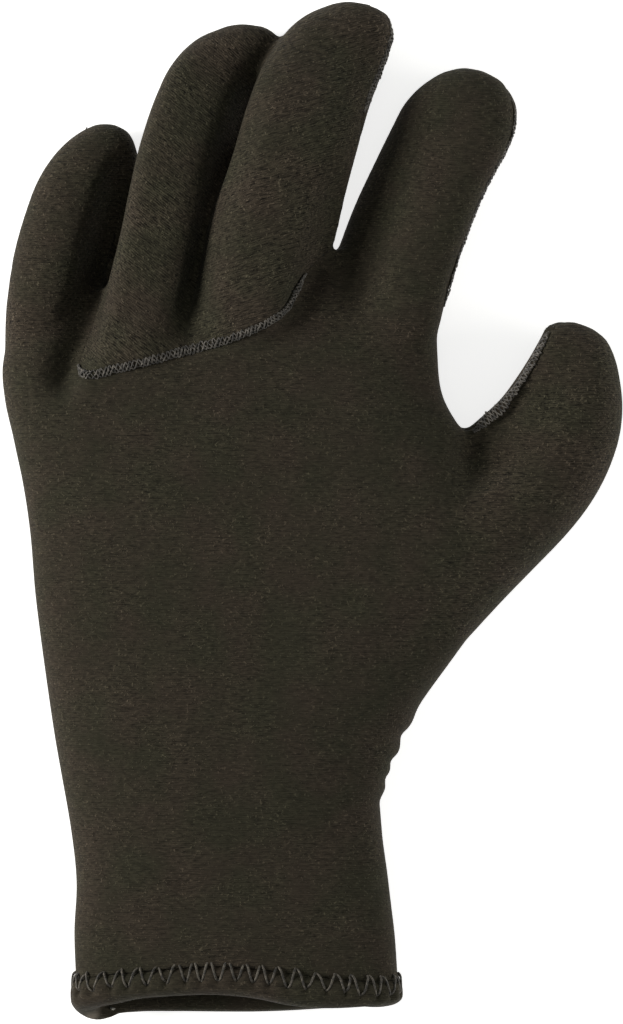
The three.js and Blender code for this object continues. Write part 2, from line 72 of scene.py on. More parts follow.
# Fingers' builds: the root in plan in mm of the design, the lean in degrees and the length in mm.
# Sections: at, as a share of the length, then in mm the edges left and right of the finger's axis,
# the height of the middle and half the depth.
FINGERS = {
    "little": {
        "build": (-51.6, 147.4, 13.3, 84.4),
        "sections": [
            (0.0, -3.6, 16.6, 12.5, 7.6), (0.19, -11.0, 14.2, 12.3, 9.5), (0.33, -13.9, 11.2, 11.8, 9.5),
            (0.45, -15.2, 10.8, 11.7, 9.4), (0.57, -15.8, 10.8, 11.4, 9.2), (0.68, -15.4, 10.6, 10.8, 8.9),
            (0.77, -14.4, 10.4, 10.1, 8.6), (0.83, -12.9, 10.2, 9.5, 8.2), (0.88, -11.0, 9.8, 9.1, 7.8),
            (0.92, -8.9, 9.2, 8.8, 7.1), (0.95, -6.8, 7.9, 8.6, 6.3), (0.975, -4.4, 6.3, 8.5, 5.1),
            (0.99, -2.3, 4.5, 8.5, 3.6), (1.0, 1.1, 1.3, 8.5, 0.2),
        ],
    },
    "ring": {
        "build": (-27.2, 150.05, 17.4, 109.5),
        "sections": [
            (0.0, -12.4, 8.2, 14.9, 8.2), (0.14, -15.6, 8.8, 17.5, 10.6), (0.28, -15.9, 7.2, 18.1, 10.7),
            (0.42, -16.8, 6.6, 18.2, 10.5), (0.55, -18.2, 6.6, 17.2, 10.2), (0.67, -19.2, 6.2, 14.7, 9.9),
            (0.77, -19.0, 6.3, 12.2, 9.5), (0.85, -17.6, 5.6, 10.2, 9.1), (0.9, -15.2, 5.2, 9.5, 8.5),
            (0.935, -12.4, 5.4, 9.3, 7.6), (0.96, -9.2, 6.2, 9.3, 6.6), (0.98, -6.1, 6.5, 9.3, 5.2),
            (0.992, -2.8, 5.6, 9.3, 3.7), (1.0, 2.0, 2.2, 9.3, 0.2),
        ],
    },
    "middle": {
        "build": (-1.8, 162.0, 18.2, 103.9),
        "sections": [
            (0.0, -12.7, 12.7, 15.0, 8.4), (0.14, -14.2, 14.2, 18.2, 11.1), (0.28, -16.1, 14.6, 19.5, 11.2),
            (0.42, -17.2, 14.4, 20.7, 11.0), (0.55, -17.2, 13.1, 20.7, 10.8), (0.67, -17.5, 12.4, 18.9, 10.5),
            (0.77, -17.0, 12.0, 15.4, 10.2), (0.85, -15.0, 12.4, 12.2, 9.7), (0.9, -12.7, 12.5, 11.4, 9.1),
            (0.935, -9.9, 12.3, 11.1, 8.2), (0.96, -6.9, 11.4, 11.0, 7.1), (0.98, -3.9, 9.9, 11.0, 5.6),
            (0.992, -0.9, 8.3, 11.0, 3.9), (1.0, 3.9, 4.1, 11.0, 0.2),
        ],
    },
    "index": {
        "build": (29.75, 156.6, 19.2, 92.2),
        "sections": [
            (0.0, -13.7, 11.9, 13.6, 9.2), (0.14, -16.2, 14.3, 13.6, 10.8), (0.28, -17.0, 14.6, 13.6, 11.3),
            (0.42, -16.6, 13.2, 13.8, 11.1), (0.55, -16.1, 13.2, 13.9, 10.9), (0.67, -15.0, 13.7, 13.4, 10.6),
            (0.77, -13.7, 15.1, 12.2, 10.2), (0.85, -12.4, 16.0, 11.0, 9.7), (0.9, -10.4, 15.7, 10.6, 9.0),
            (0.935, -8.2, 14.6, 10.5, 8.0), (0.96, -6.1, 12.6, 10.5, 6.9), (0.98, -3.4, 10.1, 10.5, 5.5),
            (0.992, -0.9, 7.7, 10.5, 3.9), (1.0, 3.2, 3.4, 10.5, 0.2),
        ],
    },
    "thumb": {
        "build": (48.95, 104.1, 27.9, 84.1),
        "sections": [
            (0.0, -14.2, 12.4, 14.0, 10.3), (0.14, -13.5, 15.6, 14.3, 13.0), (0.28, -13.5, 19.0, 14.1, 13.7),
            (0.42, -13.4, 22.2, 13.6, 13.8), (0.54, -13.2, 23.8, 13.0, 13.5), (0.6, -11.4, 24.0, 12.8, 13.2),
            (0.67, -9.2, 23.6, 12.5, 12.7), (0.77, -7.8, 21.7, 12.0, 12.0), (0.85, -7.3, 18.5, 11.4, 10.9),
            (0.9, -7.2, 15.6, 11.2, 9.8), (0.94, -7.0, 12.9, 11.1, 8.3), (0.965, -5.4, 10.7, 11.1, 6.8),
            (0.983, -2.9, 8.6, 11.1, 5.1), (0.993, -0.6, 6.7, 11.1, 3.5), (1.0, 3.2, 3.4, 11.1, 0.2),
        ],
    },
}

# Rungs of the palm: left x, left y, right x, right y, underside and top, all shares
RUNGS = np.array([
    (-0.366, 0.065, 0.374, 0.065, 0.05, 0.79),
    (-0.368, 0.13, 0.367, 0.13, 0.03, 0.84),
    (-0.364, 0.2, 0.353, 0.2, 0.0, 0.87),
    (-0.375, 0.274, 0.338, 0.274, -0.02, 0.9),
    (-0.398, 0.353, 0.341, 0.332, -0.02, 0.95),
    (-0.419, 0.432, 0.398, 0.426, -0.02, 0.99),
    (-0.437, 0.511, 0.49, 0.512, -0.02, 1.0),
    (-0.456, 0.604, 0.598, 0.603, -0.02, 1.0),
    (-0.469, 0.697, 0.69, 0.672, -0.02, 1.0),
    (-0.485, 0.769, 0.62, 0.76, -0.02, 1.0),
    (-0.508, 0.834, 0.535, 0.835, -0.01, 0.98),
    (-0.531, 0.898, 0.477, 0.898, 0.0, 0.94),
    (-0.531, 0.955, 0.466, 0.97, 0.03, 0.88),
    (-0.47, 1.0, 0.46, 1.05, 0.09, 0.77),
    (-0.4, 1.04, 0.4, 1.12, 0.2, 0.6),
])

# The back and the palm part at this share of the palm's thickness below its widest line, and on the
# fingers at this share of their half depth below theirs
PALM_PARTING = 0.08
FINGER_PARTING = -0.4

# Overlocked seams on fingers' edges: finger, side, the shares of its length where it begins and
# ends, its height over the widest line as a share of the half depth, and its width as a share of
# the seams' width. The parting rises to them.
SIDE_SEAMS = {
    "middle_seam": ("middle", 1, 0.74, 0.985, 0.3, 0.85),
    "index_seam": ("index", 1, 0.34, 0.95, 0.42, 0.9),
    "thumb_seam": ("thumb", -1, 0.55, 0.95, 0.42, 1.3),
}

# The two-finger panel's edge in plan, in mm of the design: down the ring finger's outer edge on the
# left, along the base seam and up through the gap beside the forefinger
PANEL_EDGE = np.array([
    (-27.0, 262.0), (-26.6, 246.0), (-25.6, 234.0), (-25.0, 227.0), (-26.5, 220.4), (-28.9, 209.7),
    (-30.9, 199.5), (-33.3, 189.3), (-35.7, 179.0), (-38.6, 170.4), (-39.6, 167.6), (-38.5, 165.4),
    (-35.5, 164.9), (-31.4, 166.1), (-23.5, 167.9), (-15.7, 170.0), (-7.9, 172.1), (-0.1, 174.4),
    (7.7, 177.8), (12.9, 181.5), (15.6, 186.4), (18.3, 190.8), (22.0, 194.6), (26.0, 197.6),
    (27.2, 201.5), (28.4, 206.0), (31.1, 214.0), (34.0, 222.0), (37.3, 230.0), (41.5, 238.0),
    (48.0, 254.0), (52.0, 262.0),
])
BASE_SEAM_FROM, BASE_SEAM_TO = 10, 21  # the rows of the edge between which its seam is overlocked

# How the panels meet, in mm: the groove along their borders and its reach, and the reach over
# which the two-finger panel falls from its raised border
GROOVE, GROOVE_REACH = 0.3, 0.8
RISE_REACH = 11

# Each finger lies with its outer edge up, by this many degrees, and that edge is drawn out from a
# round section towards a squarer one by this share
ROLL = {"little": 4.0, "ring": 5.0, "middle": 4.0, "index": -13.0, "thumb": 0.0}
EDGED = {"little": 0.0, "ring": 1.0, "middle": 0.45, "index": 0.0, "thumb": 0.0}
EDGE_SQUARENESS = 3.4

# Where a finger's back falls away towards its neighbour: from which share of the half width,
# by which share of the half depth, and until which share of its length
FALLS = {
    "little": (0.1, 0.85, 0.95), "ring": (0.3, 0.75, 0.93), "middle": (0.35, 0.9, 0.62),
    "index": (1.0, 0.0, 1.0), "thumb": (1.0, 0.0, 1.0),
}

# Valleys in plan, in mm of the design, along which the cloth is drawn down: the line, the reach to
# its left and right, and the depth at its foot, middle and head
VALLEYS = [
    ([(-41.2, 163.5), (-39.8, 168.5), (-35.4, 179.0), (-32.8, 189.3), (-30.8, 199.5), (-29.0, 207.0)],
     6.0, 1.5, 6.4, 6.4, 1.2),
    ([(-13.0, 173.5), (-11.0, 180.0), (-9.6, 190.0), (-7.6, 200.0), (-4.8, 210.0), (-2.2, 218.0),
      (3.5, 232.0)], 4.0, 5.5, 2.6, 2.8, 1.4),
    ([(16.6, 184.0), (19.0, 188.2), (20.8, 192.4), (22.6, 196.0)], 3.2, 4.0, 2.0, 3.2, 0.4),
    ([(59.5, 146.0), (64.5, 149.5), (70.5, 155.0), (75.5, 160.5), (79.5, 167.5)], 2.6, 8.0, 4.4, 4.4, 0.8),
]

# Small gathers that pull the cloth out at the thumb side of the wrist, in mm of the design: middle,
# half length along the edge, half width across it, direction in degrees from +X, and height
GATHERS = [
    (44.2, 77.0, 2.8, 9.0, 62.0, 0.6), (41.0, 69.6, 2.0, 8.0, 62.0, 0.55),
    (39.0, 64.0, 1.6, 7.0, 68.0, 0.2), (37.4, 59.6, 2.0, 8.0, 76.0, 0.35),
    (42.4, 73.2, 1.5, 9.0, 62.0, -0.45), (39.8, 66.6, 1.4, 8.0, 64.0, -0.45),
    (38.0, 62.2, 1.4, 7.0, 72.0, -0.4), (36.6, 56.4, 1.7, 8.0, 80.0, -0.35),
]

# The rim and the stitches' line round the wrist, in mm of the design: x, then y on the palm's side
# and on the back's, and the stitches' middle on the back
RIM = np.array([
    (-42.0, 4.6, 6.0, 11.4), (-38.5, 2.2, 4.2, 11.4), (-35.0, 0.5, 4.3, 11.9), (-30.6, 1.8, 5.0, 12.5),
    (-25.3, 2.3, 6.2, 13.0), (-15.3, 2.4, 7.2, 14.0), (-3.8, 2.3, 7.5, 14.7), (5.1, 2.3, 6.6, 14.0),
    (14.0, 2.6, 4.8, 12.8), (21.7, 3.1, 4.1, 11.9), (31.0, 3.7, 4.3, 10.9), (37.3, 3.8, 4.8, 10.5),
    (41.0, 4.9, 5.7, 10.8), (43.5, 6.8, 7.0, 11.0),
])

# Where the hem's cut edge shows beside the palm, in mm of the design: middle and half size in plan,
# and the heights between which it fades
RAW_EDGE = np.array([-36.4, 2.4, 1.7, 2.0])
RAW_EDGE_BELOW, RAW_EDGE_ABOVE = 9.0, 14.0

# The end of a thread left at the rim, in mm of the design, and its radius
THREAD_END = np.array([(-32.0, 3.8, 10.2), (-31.5, 3.3, 10.7), (-31.0, 3.1, 10.6), (-30.6, 3.2, 10.0)])
THREAD_END_RADIUS = 0.32

# Soft folds pressed into the cloth. Columns, in mm of the design: middle x and y, half length,
# half width, direction in degrees from +X, and depth (below 0 stands proud)
FOLDS = [
    (-6.0, 160.0, 34.0, 5.0, 14.0, 0.6),
    (36.0, 203.0, 22.0, 6.0, 71.0, 2.6),
    (30.0, 186.0, 9.0, 6.0, 55.0, 1.6),
    (84.0, 166.0, 12.0, 6.0, 62.0, 1.2),
    (67.5, 143.0, 12.0, 6.0, 26.0, 3.2),
    (38.0, 34.0, 9.0, 2.2, 15.0, 0.5),
    (30.0, 66.0, 12.0, 3.0, 24.0, 0.5),
    (28.0, 73.0, 12.0, 3.0, 24.0, 0.4),
    (-34.0, 60.0, 11.0, 4.0, -20.0, 0.3),
    (-30.0, 95.0, 16.0, 5.0, 12.0, 0.3),
    (5.0, 82.0, 26.0, 7.0, 70.0, 0.3),
    (45.0, 98.0, 22.0, 6.0, 42.0, 0.5),
]


# Shapes as functions


def through(knots, values, at):
    """Values at places along a smooth curve through the knots: on each stretch the cubic that
    meets both knots with the slopes that their neighbours give."""
    knots, values = np.asarray(knots, float), np.asarray(values, float)
    slopes = np.gradient(values, knots, axis=0)
    i = np.clip(np.searchsorted(knots, at) - 1, 0, len(knots) - 2)
    span = knots[i + 1] - knots[i]
    t = np.clip((at - knots[i]) / span, 0, 1)
    if values.ndim > 1:
        span, t = span[..., None], t[..., None]
    t2, t3 = t * t, t * t * t
    return ((2 * t3 - 3 * t2 + 1) * values[i] + (t3 - 2 * t2 + t) * span * slopes[i]
            + (3 * t2 - 2 * t3) * values[i + 1] + (t3 - t2) * span * slopes[i + 1])


def smoothstep(low, high, x):
    """0 below low, 1 above high, and 3 t squared less 2 t cubed between them."""
    t = np.clip((x - low) / (high - low), 0, 1)
    return t * t * (3 - 2 * t)


def finger_frame(name):
    """A finger's root in plan, its directions along and across, and its length, in mm."""
    x, y, lean, length = FINGERS[name]["build"]
    a = math.radians(lean)
    along = np.array([math.sin(a), math.cos(a)])
    across = np.array([math.cos(a), -math.sin(a)])
    return np.array([x, y]), along, across, length


def finger_shape(name, at):
    """The middle between the edges, half the width, the height of the middle and half the depth,
    in mm, at shares of a finger's length."""
    rows = np.array(FINGERS[name]["sections"])
    left, right, lift, deep = through(rows[:, 0], rows[:, 1:], at).T
    return (left + right) / 2, (right - left) / 2, lift, deep


def rounded_box(turn, squareness):
    """The cosine and the sine of a turn, each drawn out to the power of 2 over the squareness."""
    c, s = np.cos(turn), np.sin(turn)
    return (np.sign(c) * np.abs(c) ** (2 / squareness), np.sign(s) * np.abs(s) ** (2 / squareness))


def finger_grid(name, rings=84, sides=72):
    """A finger as rings of points: at each share of its length a rounded box between its edges,
    whose outer upper corner is drawn out squarer and which leans by the finger's roll."""
    root, along, across, length = finger_frame(name)
    tip = 0.85 + 0.15 * np.sin(np.linspace(0, math.pi / 2, 40)[1:])
    at = np.concatenate([np.linspace(0, 0.85, rings), tip])
    middle, half, lift, deep = finger_shape(name, at)
    turn = np.linspace(0, 2 * math.pi, sides, endpoint=False)
    round_c, round_s = rounded_box(turn, FINGER_SQUARENESS)
    edge_c, edge_s = rounded_box(turn, EDGE_SQUARENESS)
    raised = smoothstep(0.0, 0.5, -np.cos(turn)) * smoothstep(-0.2, 0.4, np.sin(turn)) * EDGED[name]
    raised = raised[None] * (1 - smoothstep(0.8, 0.97, at))[:, None]
    c = round_c + (edge_c - round_c) * raised
    s = round_s + (edge_s - round_s) * raised
    start, fall, until = FALLS[name]
    fall = fall * (1 - smoothstep(until - 0.12, until, at)[:, None])
    s = np.where(s > 0, s * (1 - fall * smoothstep(start, start + 0.65, c)), s)
    off = half[:, None] * c
    roll = math.tan(math.radians(ROLL[name])) * smoothstep(0.1, 0.35, at) * (1 - smoothstep(0.8, 1.0, at))
    xy = (root + at[:, None] * length * along)[:, None] + (middle[:, None] + off)[..., None] * across
    z = lift[:, None] + deep[:, None] * s - roll[:, None] * off
    return np.concatenate([xy, z[..., None]], 2)


def palm_rungs(at):
    """The palm's rungs at places from 0 to 14, in mm: left, right, and middle and half height."""
    row = through(np.arange(len(RUNGS)), RUNGS, at)
    left = np.stack([row[:, 0] * PALM_WIDTH, row[:, 1] * HAND_LENGTH], 1)
    right = np.stack([row[:, 2] * PALM_WIDTH, row[:, 3] * HAND_LENGTH], 1)
    low, top = row[:, 4] * PALM_THICKNESS, row[:, 5] * PALM_THICKNESS
    return left, right, (low + top) / 2, (top - low) / 2


def palm_grid(rings=130, sides=120):
    """The palm and wrist as rings, each a rounded box across its rung. The first ring is carried
    straight out past the rim."""
    left, right, middle, deep = palm_rungs(np.linspace(0, len(RUNGS) - 1, rings))
    c, s = rounded_box(np.linspace(0, 2 * math.pi, sides, endpoint=False), PALM_SQUARENESS)
    xy = ((left + right) / 2)[:, None] + ((right - left) / 2)[:, None] * c[:, None]
    z = middle[:, None] + deep[:, None] * s
    grid = np.concatenate([xy, z[..., None]], 2)
    past = np.repeat(grid[:1], 6, 0)
    past[:, :, 1] = np.linspace(-8, grid[0, :, 1].min() - 2, 6)[:, None]
    return np.concatenate([past, grid])


def finger_distance(name, p):
    """About how far points lie outside a finger's form, in mm: the reach of the rounded box
    through a point, less one, times its lesser half size."""
    root, along, across, length = finger_frame(name)
    flat = p[:, :2] - root
    at = flat @ along / length
    middle, half, lift, deep = finger_shape(name, np.clip(at, 0, 0.995))
    off = flat @ across - middle
    lift = lift - math.tan(math.radians(ROLL[name])) * off
    reach = (np.abs(off / half) ** FINGER_SQUARENESS
             + np.abs((p[:, 2] - lift) / deep) ** FINGER_SQUARENESS) ** (1 / FINGER_SQUARENESS)
    beyond = (np.maximum(at - 0.995, 0) + np.maximum(-at, 0)) * length
    return (reach - 1) * np.minimum(half, deep) + beyond


def palm_distance(p):
    """The same for the palm's form."""
    at = np.linspace(0, len(RUNGS) - 1, 200)
    left, right, middle, deep = palm_rungs(at)
    y = (left[:, 1] + right[:, 1]) / 2
    lx, rx, m, d = (np.interp(p[:, 1], y, v) for v in (left[:, 0], right[:, 0], middle, deep))
    half = (rx - lx) / 2
    reach = (np.abs((p[:, 0] - (lx + rx) / 2) / half) ** PALM_SQUARENESS
             + np.abs((p[:, 2] - m) / d) ** PALM_SQUARENESS) ** (1 / PALM_SQUARENESS)
    return (reach - 1) * np.minimum(half, d) + np.maximum(p[:, 1] - y[-1], 0)


def seam_height(name, at, side):
    """The parting's height over a finger's widest line, as a share of its half depth, on one side
    of it: low, and up at a seam between two ramps along the finger."""
    out = np.full(np.shape(at), FINGER_PARTING)
    for finger, hand, low, high, up, _ in SIDE_SEAMS.values():
        if finger == name:
            on = smoothstep(low - 0.1, low - 0.01, at) * (1 - smoothstep(high + 0.01, high + 0.05, at))
            out = out + (up - FINGER_PARTING) * on * smoothstep(-0.3, 0.5, hand * side)
    return out


def parting_height(p, away):
    """The height at which back and palm part: that of each form that lies near, weighted by the
    power of e of less its distance."""
    heights = []
    for name in FINGERS:
        root, along, across, length = finger_frame(name)
        flat = p[:, :2] - root
        at = np.clip(flat @ along / length, 0, 0.995)
        middle, half, lift, deep = finger_shape(name, at)
        side = np.clip((flat @ across - middle) / half, -1, 1)
        heights.append(lift + seam_height(name, at, side) * np.maximum(deep, 5))
    y = RUNGS[:, 1] * HAND_LENGTH
    widest = (RUNGS[:, 4] + RUNGS[:, 5]) / 2 - PALM_PARTING
    heights.append(np.interp(p[:, 1], y, widest) * PALM_THICKNESS)
    weight = np.exp(-np.maximum(away, 0) / 1.2)
    return (np.stack(heights, 1) * weight).sum(1) / weight.sum(1)


def along_line(knots, count):
    """Points evenly along the smooth curve through knots in plan."""
    knots = np.asarray(knots, float)
    fine = through(np.arange(len(knots)), knots, np.linspace(0, len(knots) - 1, 600))
    run = np.concatenate([[0], np.cumsum(np.linalg.norm(np.diff(fine, axis=0), axis=1))])
    at = np.linspace(0, run[-1], count)
    return np.stack([np.interp(at, run, fine[:, k]) for k in (0, 1)], 1)


def beside_line(p, line):
    """For points in plan: how far they lie across a line, above 0 on its left, how far past its
    ends, and the nearest share of its length."""
    across, past = np.empty(len(p)), np.zeros(len(p))
    index = np.empty(len(p), int)
    ahead = np.gradient(line, axis=0)
    ahead /= np.linalg.norm(ahead, axis=1)[:, None]
    last = len(line) - 1
    for start in range(0, len(p), 20000):
        part = slice(start, start + 20000)
        gap = p[part, None, :2] - line[None]
        i = np.argmin((gap ** 2).sum(2), 1)
        near = gap[np.arange(len(i)), i]
        across[part] = ahead[i, 0] * near[:, 1] - ahead[i, 1] * near[:, 0]
        past[part] = np.where((i == 0) | (i == last), np.abs((ahead[i] * near).sum(1)), 0)
        index[part] = i
    return across, past, index / last


def panel_edge_line(count):
    """The two-finger panel's edge as points, and the first and last that its seam is overlocked at."""
    edge = along_line(PANEL_EDGE, count)
    ends = PANEL_EDGE[[BASE_SEAM_FROM, BASE_SEAM_TO]]
    first, last = np.argmin(((edge[None] - ends[:, None]) ** 2).sum(2), 1)
    return edge, first, last


def wrist_box():
    """The first rung's middle in x, half its width, its middle in z and half its height, in mm."""
    left, right, middle, deep = palm_rungs(np.array([0.0]))
    return (left[0, 0] + right[0, 0]) / 2, (right[0, 0] - left[0, 0]) / 2, middle[0], deep[0]


def wrist_turn(p):
    """The turn round the wrist at which points lie, from the first rung's rounded box."""
    centre, half, middle, deep = wrist_box()
    u = (p[:, 0] - centre) / half
    v = (p[:, 2] - middle) / deep
    power = PALM_SQUARENESS / 2
    return np.arctan2(np.sign(v) * np.abs(v) ** power, np.sign(u) * np.abs(u) ** power)


def rim_at(turn):
    """The rim's y at turns round the wrist: its palm side's, and over the back its back side's."""
    centre, half, _, _ = wrist_box()
    c, s = rounded_box(turn, PALM_SQUARENESS)
    x = centre + (half - HEM_WALL - HEM_SEAT) * c
    low, back = (through(RIM[:, 0], RIM[:, k], x) for k in (1, 2))
    return low + (back - low) * smoothstep(-0.6, 0.7, s)


def stitches_at(turn):
    """The same for the line where the hem ends: the stitches' middle, level under the palm."""
    centre, half, _, _ = wrist_box()
    c, s = rounded_box(turn, PALM_SQUARENESS)
    level = HEM_HEIGHT + STITCHES_REACH
    return level + (through(RIM[:, 0], RIM[:, 3], centre + half * c) - level) * smoothstep(-0.6, 0.6, s)


def stitch_phase(turn):
    """Which zigzag of the hem a turn lies at, as a running number: the way round the wrist over
    the pitch, with a seeded drift so that no two are quite alike, and tighter at the left end."""
    rng = np.random.default_rng(5)
    _, half, _, deep = wrist_box()
    fine = np.linspace(0, 2 * math.pi, 4001)
    c, s = rounded_box(fine, PALM_SQUARENESS)
    run = np.concatenate([[0], np.cumsum(np.hypot(np.diff(half * c), np.diff(deep * s)))])
    tight = 1 + 0.35 * np.exp(-((fine - 0.93 * math.pi) / 0.22) ** 2)
    drift = np.interp(fine, np.linspace(0, 2 * math.pi, 90), rng.normal(0, 0.2, 90))
    pace = np.gradient(run) * tight * (1 + drift)
    count = np.cumsum(pace) / size("hem_pitch")
    return np.interp(turn, fine, count * round(count[-1]) / count[-1])


# Meshes


def grid_faces(rows, columns, start=0):
    """Quads between neighbouring rings of as many points each."""
    i, j = np.meshgrid(np.arange(rows - 1), np.arange(columns), indexing="ij")
    k = (j + 1) % columns
    return (np.stack([i * columns + j, i * columns + k, (i + 1) * columns + k, (i + 1) * columns + j], -1)
            .reshape(-1, 4) + start)


def closed_form(grid):
    """Points and triangles of a row of rings with both ends closed by fans."""
    rows, columns, _ = grid.shape
    points = np.concatenate([grid.reshape(-1, 3), [grid[0].mean(0)], [grid[-1].mean(0)]])
    quads = grid_faces(rows, columns)
    sides = np.concatenate([quads[:, [0, 1, 2]], quads[:, [0, 2, 3]]])
    j = np.arange(columns)
    k = (j + 1) % columns
    first, last = len(points) - 2, len(points) - 1
    low = np.stack([np.full(columns, first), k, j], 1)
    end = (rows - 1) * columns
    high = np.stack([np.full(columns, last), end + j, end + k], 1)
    return points, np.concatenate([sides, low, high])


def outward(points, faces):
    """The faces, turned over if the volume that they close is negative."""
    a, b, c = (points[faces[:, i]] for i in range(3))
    return faces if np.einsum("ij,ij->", a, np.cross(b, c)) > 0 else faces[:, ::-1]


def make_mesh(name, points, faces, smooth=True):
    """A mesh of points in mm of the design, put in the frame's metres."""
    mesh = bpy.data.meshes.new(name)
    points = (np.asarray(points) + SHIFT) * MM
    faces = np.asarray(faces)
    mesh.vertices.add(len(points))
    mesh.vertices.foreach_set("co", points.astype(np.float32).ravel())
    count, corners = faces.shape
    mesh.loops.add(count * corners)
    mesh.loops.foreach_set("vertex_index", faces.astype(np.int32).ravel())
    mesh.polygons.add(count)
    mesh.polygons.foreach_set("loop_start", np.arange(0, count * corners, corners, dtype=np.int32))
    mesh.update(calc_edges=True)
    mesh.polygons.foreach_set("use_smooth", np.full(count, smooth))
    mesh.validate()
    return mesh


def make_piece(name, points, faces, material, replaces=(), core=None):
    """An object of a mesh, in the scene, on the frame's one body, with its material. A core's
    material is for the last faces, as many as it says."""
    piece = bpy.data.objects.new(name, make_mesh(name, points, faces))
    bpy.context.collection.objects.link(piece)
    piece.data.materials.append(material)
    if core:
        piece.data.materials.append(core[0])
        index = np.arange(len(piece.data.polygons)) >= len(piece.data.polygons) - core[1]
        piece.data.polygons.foreach_set("material_index", index.astype(np.int32))
    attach(piece, "root")
    for node in replaces:
        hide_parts(node)
    return piece


def read_mesh(mesh):
    """Points in mm of the design and triangles of a mesh."""
    mesh.calc_loop_triangles()
    points = np.empty(len(mesh.vertices) * 3, np.float32)
    mesh.vertices.foreach_get("co", points)
    faces = np.empty(len(mesh.loop_triangles) * 3, np.int32)
    mesh.loop_triangles.foreach_get("vertices", faces)
    return points.reshape(-1, 3).astype(float) / MM - SHIFT, faces.reshape(-1, 3)


def point_normals(points, faces):
    """The normals of points, as the sum of those of the faces round them."""
    a, b, c = (points[faces[:, i]] for i in range(3))
    face = np.cross(b - a, c - a)
    out = np.zeros_like(points)
    for axis in range(3):
        for corner in range(3):
            out[:, axis] += np.bincount(faces[:, corner], face[:, axis], len(points))
    return out / (np.linalg.norm(out, axis=1)[:, None] + 1e-12)


def eased(points, faces, weight, rounds, back=0.0):
    """The points moved again and again towards the middle of their neighbours, by a share that
    is each point's weight, and then back by a share that keeps the form's size."""
    many = len(points)
    edges = np.concatenate([faces[:, [0, 1]], faces[:, [1, 2]], faces[:, [2, 0]]])
    a, b = np.unique(np.sort(edges, 1), axis=0).T
    count = np.bincount(a, minlength=many) + np.bincount(b, minlength=many)
    points = points.copy()
    for _ in range(rounds):
        for share in ((weight, -back) if back else (weight,)):
            total = np.stack([np.bincount(a, column[b], many) + np.bincount(b, column[a], many)
                              for column in points.T], 1)
            step = total / count[:, None] - points
            points += (share if np.isscalar(share) else share[:, None]) * step
    return points


def cut(data, faces, field, on_line=0.06):
    """The part of a mesh where a field is above 0. Triangles that the field's zero line crosses
    are cut along it, and every column of the points' data is carried to the new points. A point
    that lies almost on the line counts as on it, so that no sliver is left."""
    field = np.where(np.abs(field) < on_line, 0.0, field)
    inside = field >= 0
    state = inside[faces].sum(1)
    keep = faces[state == 3]
    new_points, new_faces = [data], [keep]
    crossed = faces[(state == 1) | (state == 2)]
    if len(crossed):
        lone_in = inside[crossed].sum(1) == 1
        odd = np.where(lone_in, np.argmax(inside[crossed], 1), np.argmin(inside[crossed], 1))
        rows = np.arange(len(crossed))
        p, q, r = (crossed[rows, (odd + k) % 3] for k in range(3))
        pairs = np.concatenate([np.stack([p, q], 1), np.stack([p, r], 1)])
        unique, back = np.unique(np.sort(pairs, 1), axis=0, return_inverse=True)
        back = back.ravel()
        a, b = unique.T
        t = (field[a] / (field[a] - field[b]))[:, None]
        new_points.append(data[a] * (1 - t) + data[b] * t)
        pq, pr = back[:len(p)] + len(data), back[len(p):] + len(data)
        new_faces.append(np.stack([p, pq, pr], 1)[lone_in])
        two = ~lone_in
        new_faces.append(np.stack([pq, q, r], 1)[two])
        new_faces.append(np.stack([pq, r, pr], 1)[two])
    return tidy(np.concatenate(new_points), np.concatenate(new_faces))


def tidy(data, faces):
    """The largest joined body of a mesh, without unused points and flat faces."""
    a, b, c = (data[faces[:, i], :3] for i in range(3))
    faces = faces[np.linalg.norm(np.cross(b - a, c - a), axis=1) > 1e-7]
    label = np.arange(len(data))
    while True:
        low = label[faces].min(1)
        fresh = label.copy()
        for k in range(3):
            np.minimum.at(fresh, faces[:, k], low)
        fresh = fresh[fresh]
        if (fresh == label).all():
            break
        label = fresh
    names, counts = np.unique(label[faces[:, 0]], return_counts=True)
    faces = faces[label[faces[:, 0]] == names[np.argmax(counts)]]
    used, fresh = np.unique(faces, return_inverse=True)
    return data[used], fresh.reshape(-1, 3)


def tube(path, radius, up, sides=6):
    """A closed tube round a run of points: circles square to the path, the last at either end
    drawn in."""
    ahead = np.gradient(path, axis=0)
    ahead /= np.linalg.norm(ahead, axis=1)[:, None] + 1e-12
    side = np.cross(ahead, up)
    side /= np.linalg.norm(side, axis=1)[:, None] + 1e-12
    rise = np.cross(side, ahead)
    turn = np.linspace(0, 2 * math.pi, sides, endpoint=False)
    size = np.broadcast_to(radius, (len(path),)).copy()
    size[[0, -1]] *= 0.35
    ring = (side[:, None] * np.cos(turn)[None, :, None] + rise[:, None] * np.sin(turn)[None, :, None])
    return closed_form(path[:, None] + ring * size[:, None, None])


def running_mean(values, span):
    """The mean of each value and its neighbours, as many as the span in all."""
    return np.convolve(np.pad(values, span // 2, "edge"), np.ones(span) / span, "valid")


def gathered(parts):
    """Points and faces of several parts in one mesh."""
    points, faces, count = [], [], 0
    for p, f in parts:
        points.append(p)
        faces.append(outward(p, f) + count)
        count += len(p)
    return np.concatenate(points), np.concatenate(faces)


# The shell


def bells(p, table):
    """The sum of bells in plan: each its height times e to the power of less u squared less v
    squared, with u along it over its half length and v across it over its half width."""
    out = np.zeros(len(p))
    for x, y, long, wide, turn, height in table:
        a = math.radians(turn)
        u = ((p[:, 0] - x) * math.cos(a) + (p[:, 1] - y) * math.sin(a)) / long
        v = (-(p[:, 0] - x) * math.sin(a) + (p[:, 1] - y) * math.cos(a)) / wide
        out += height * np.exp(-u * u - v * v)
    return out


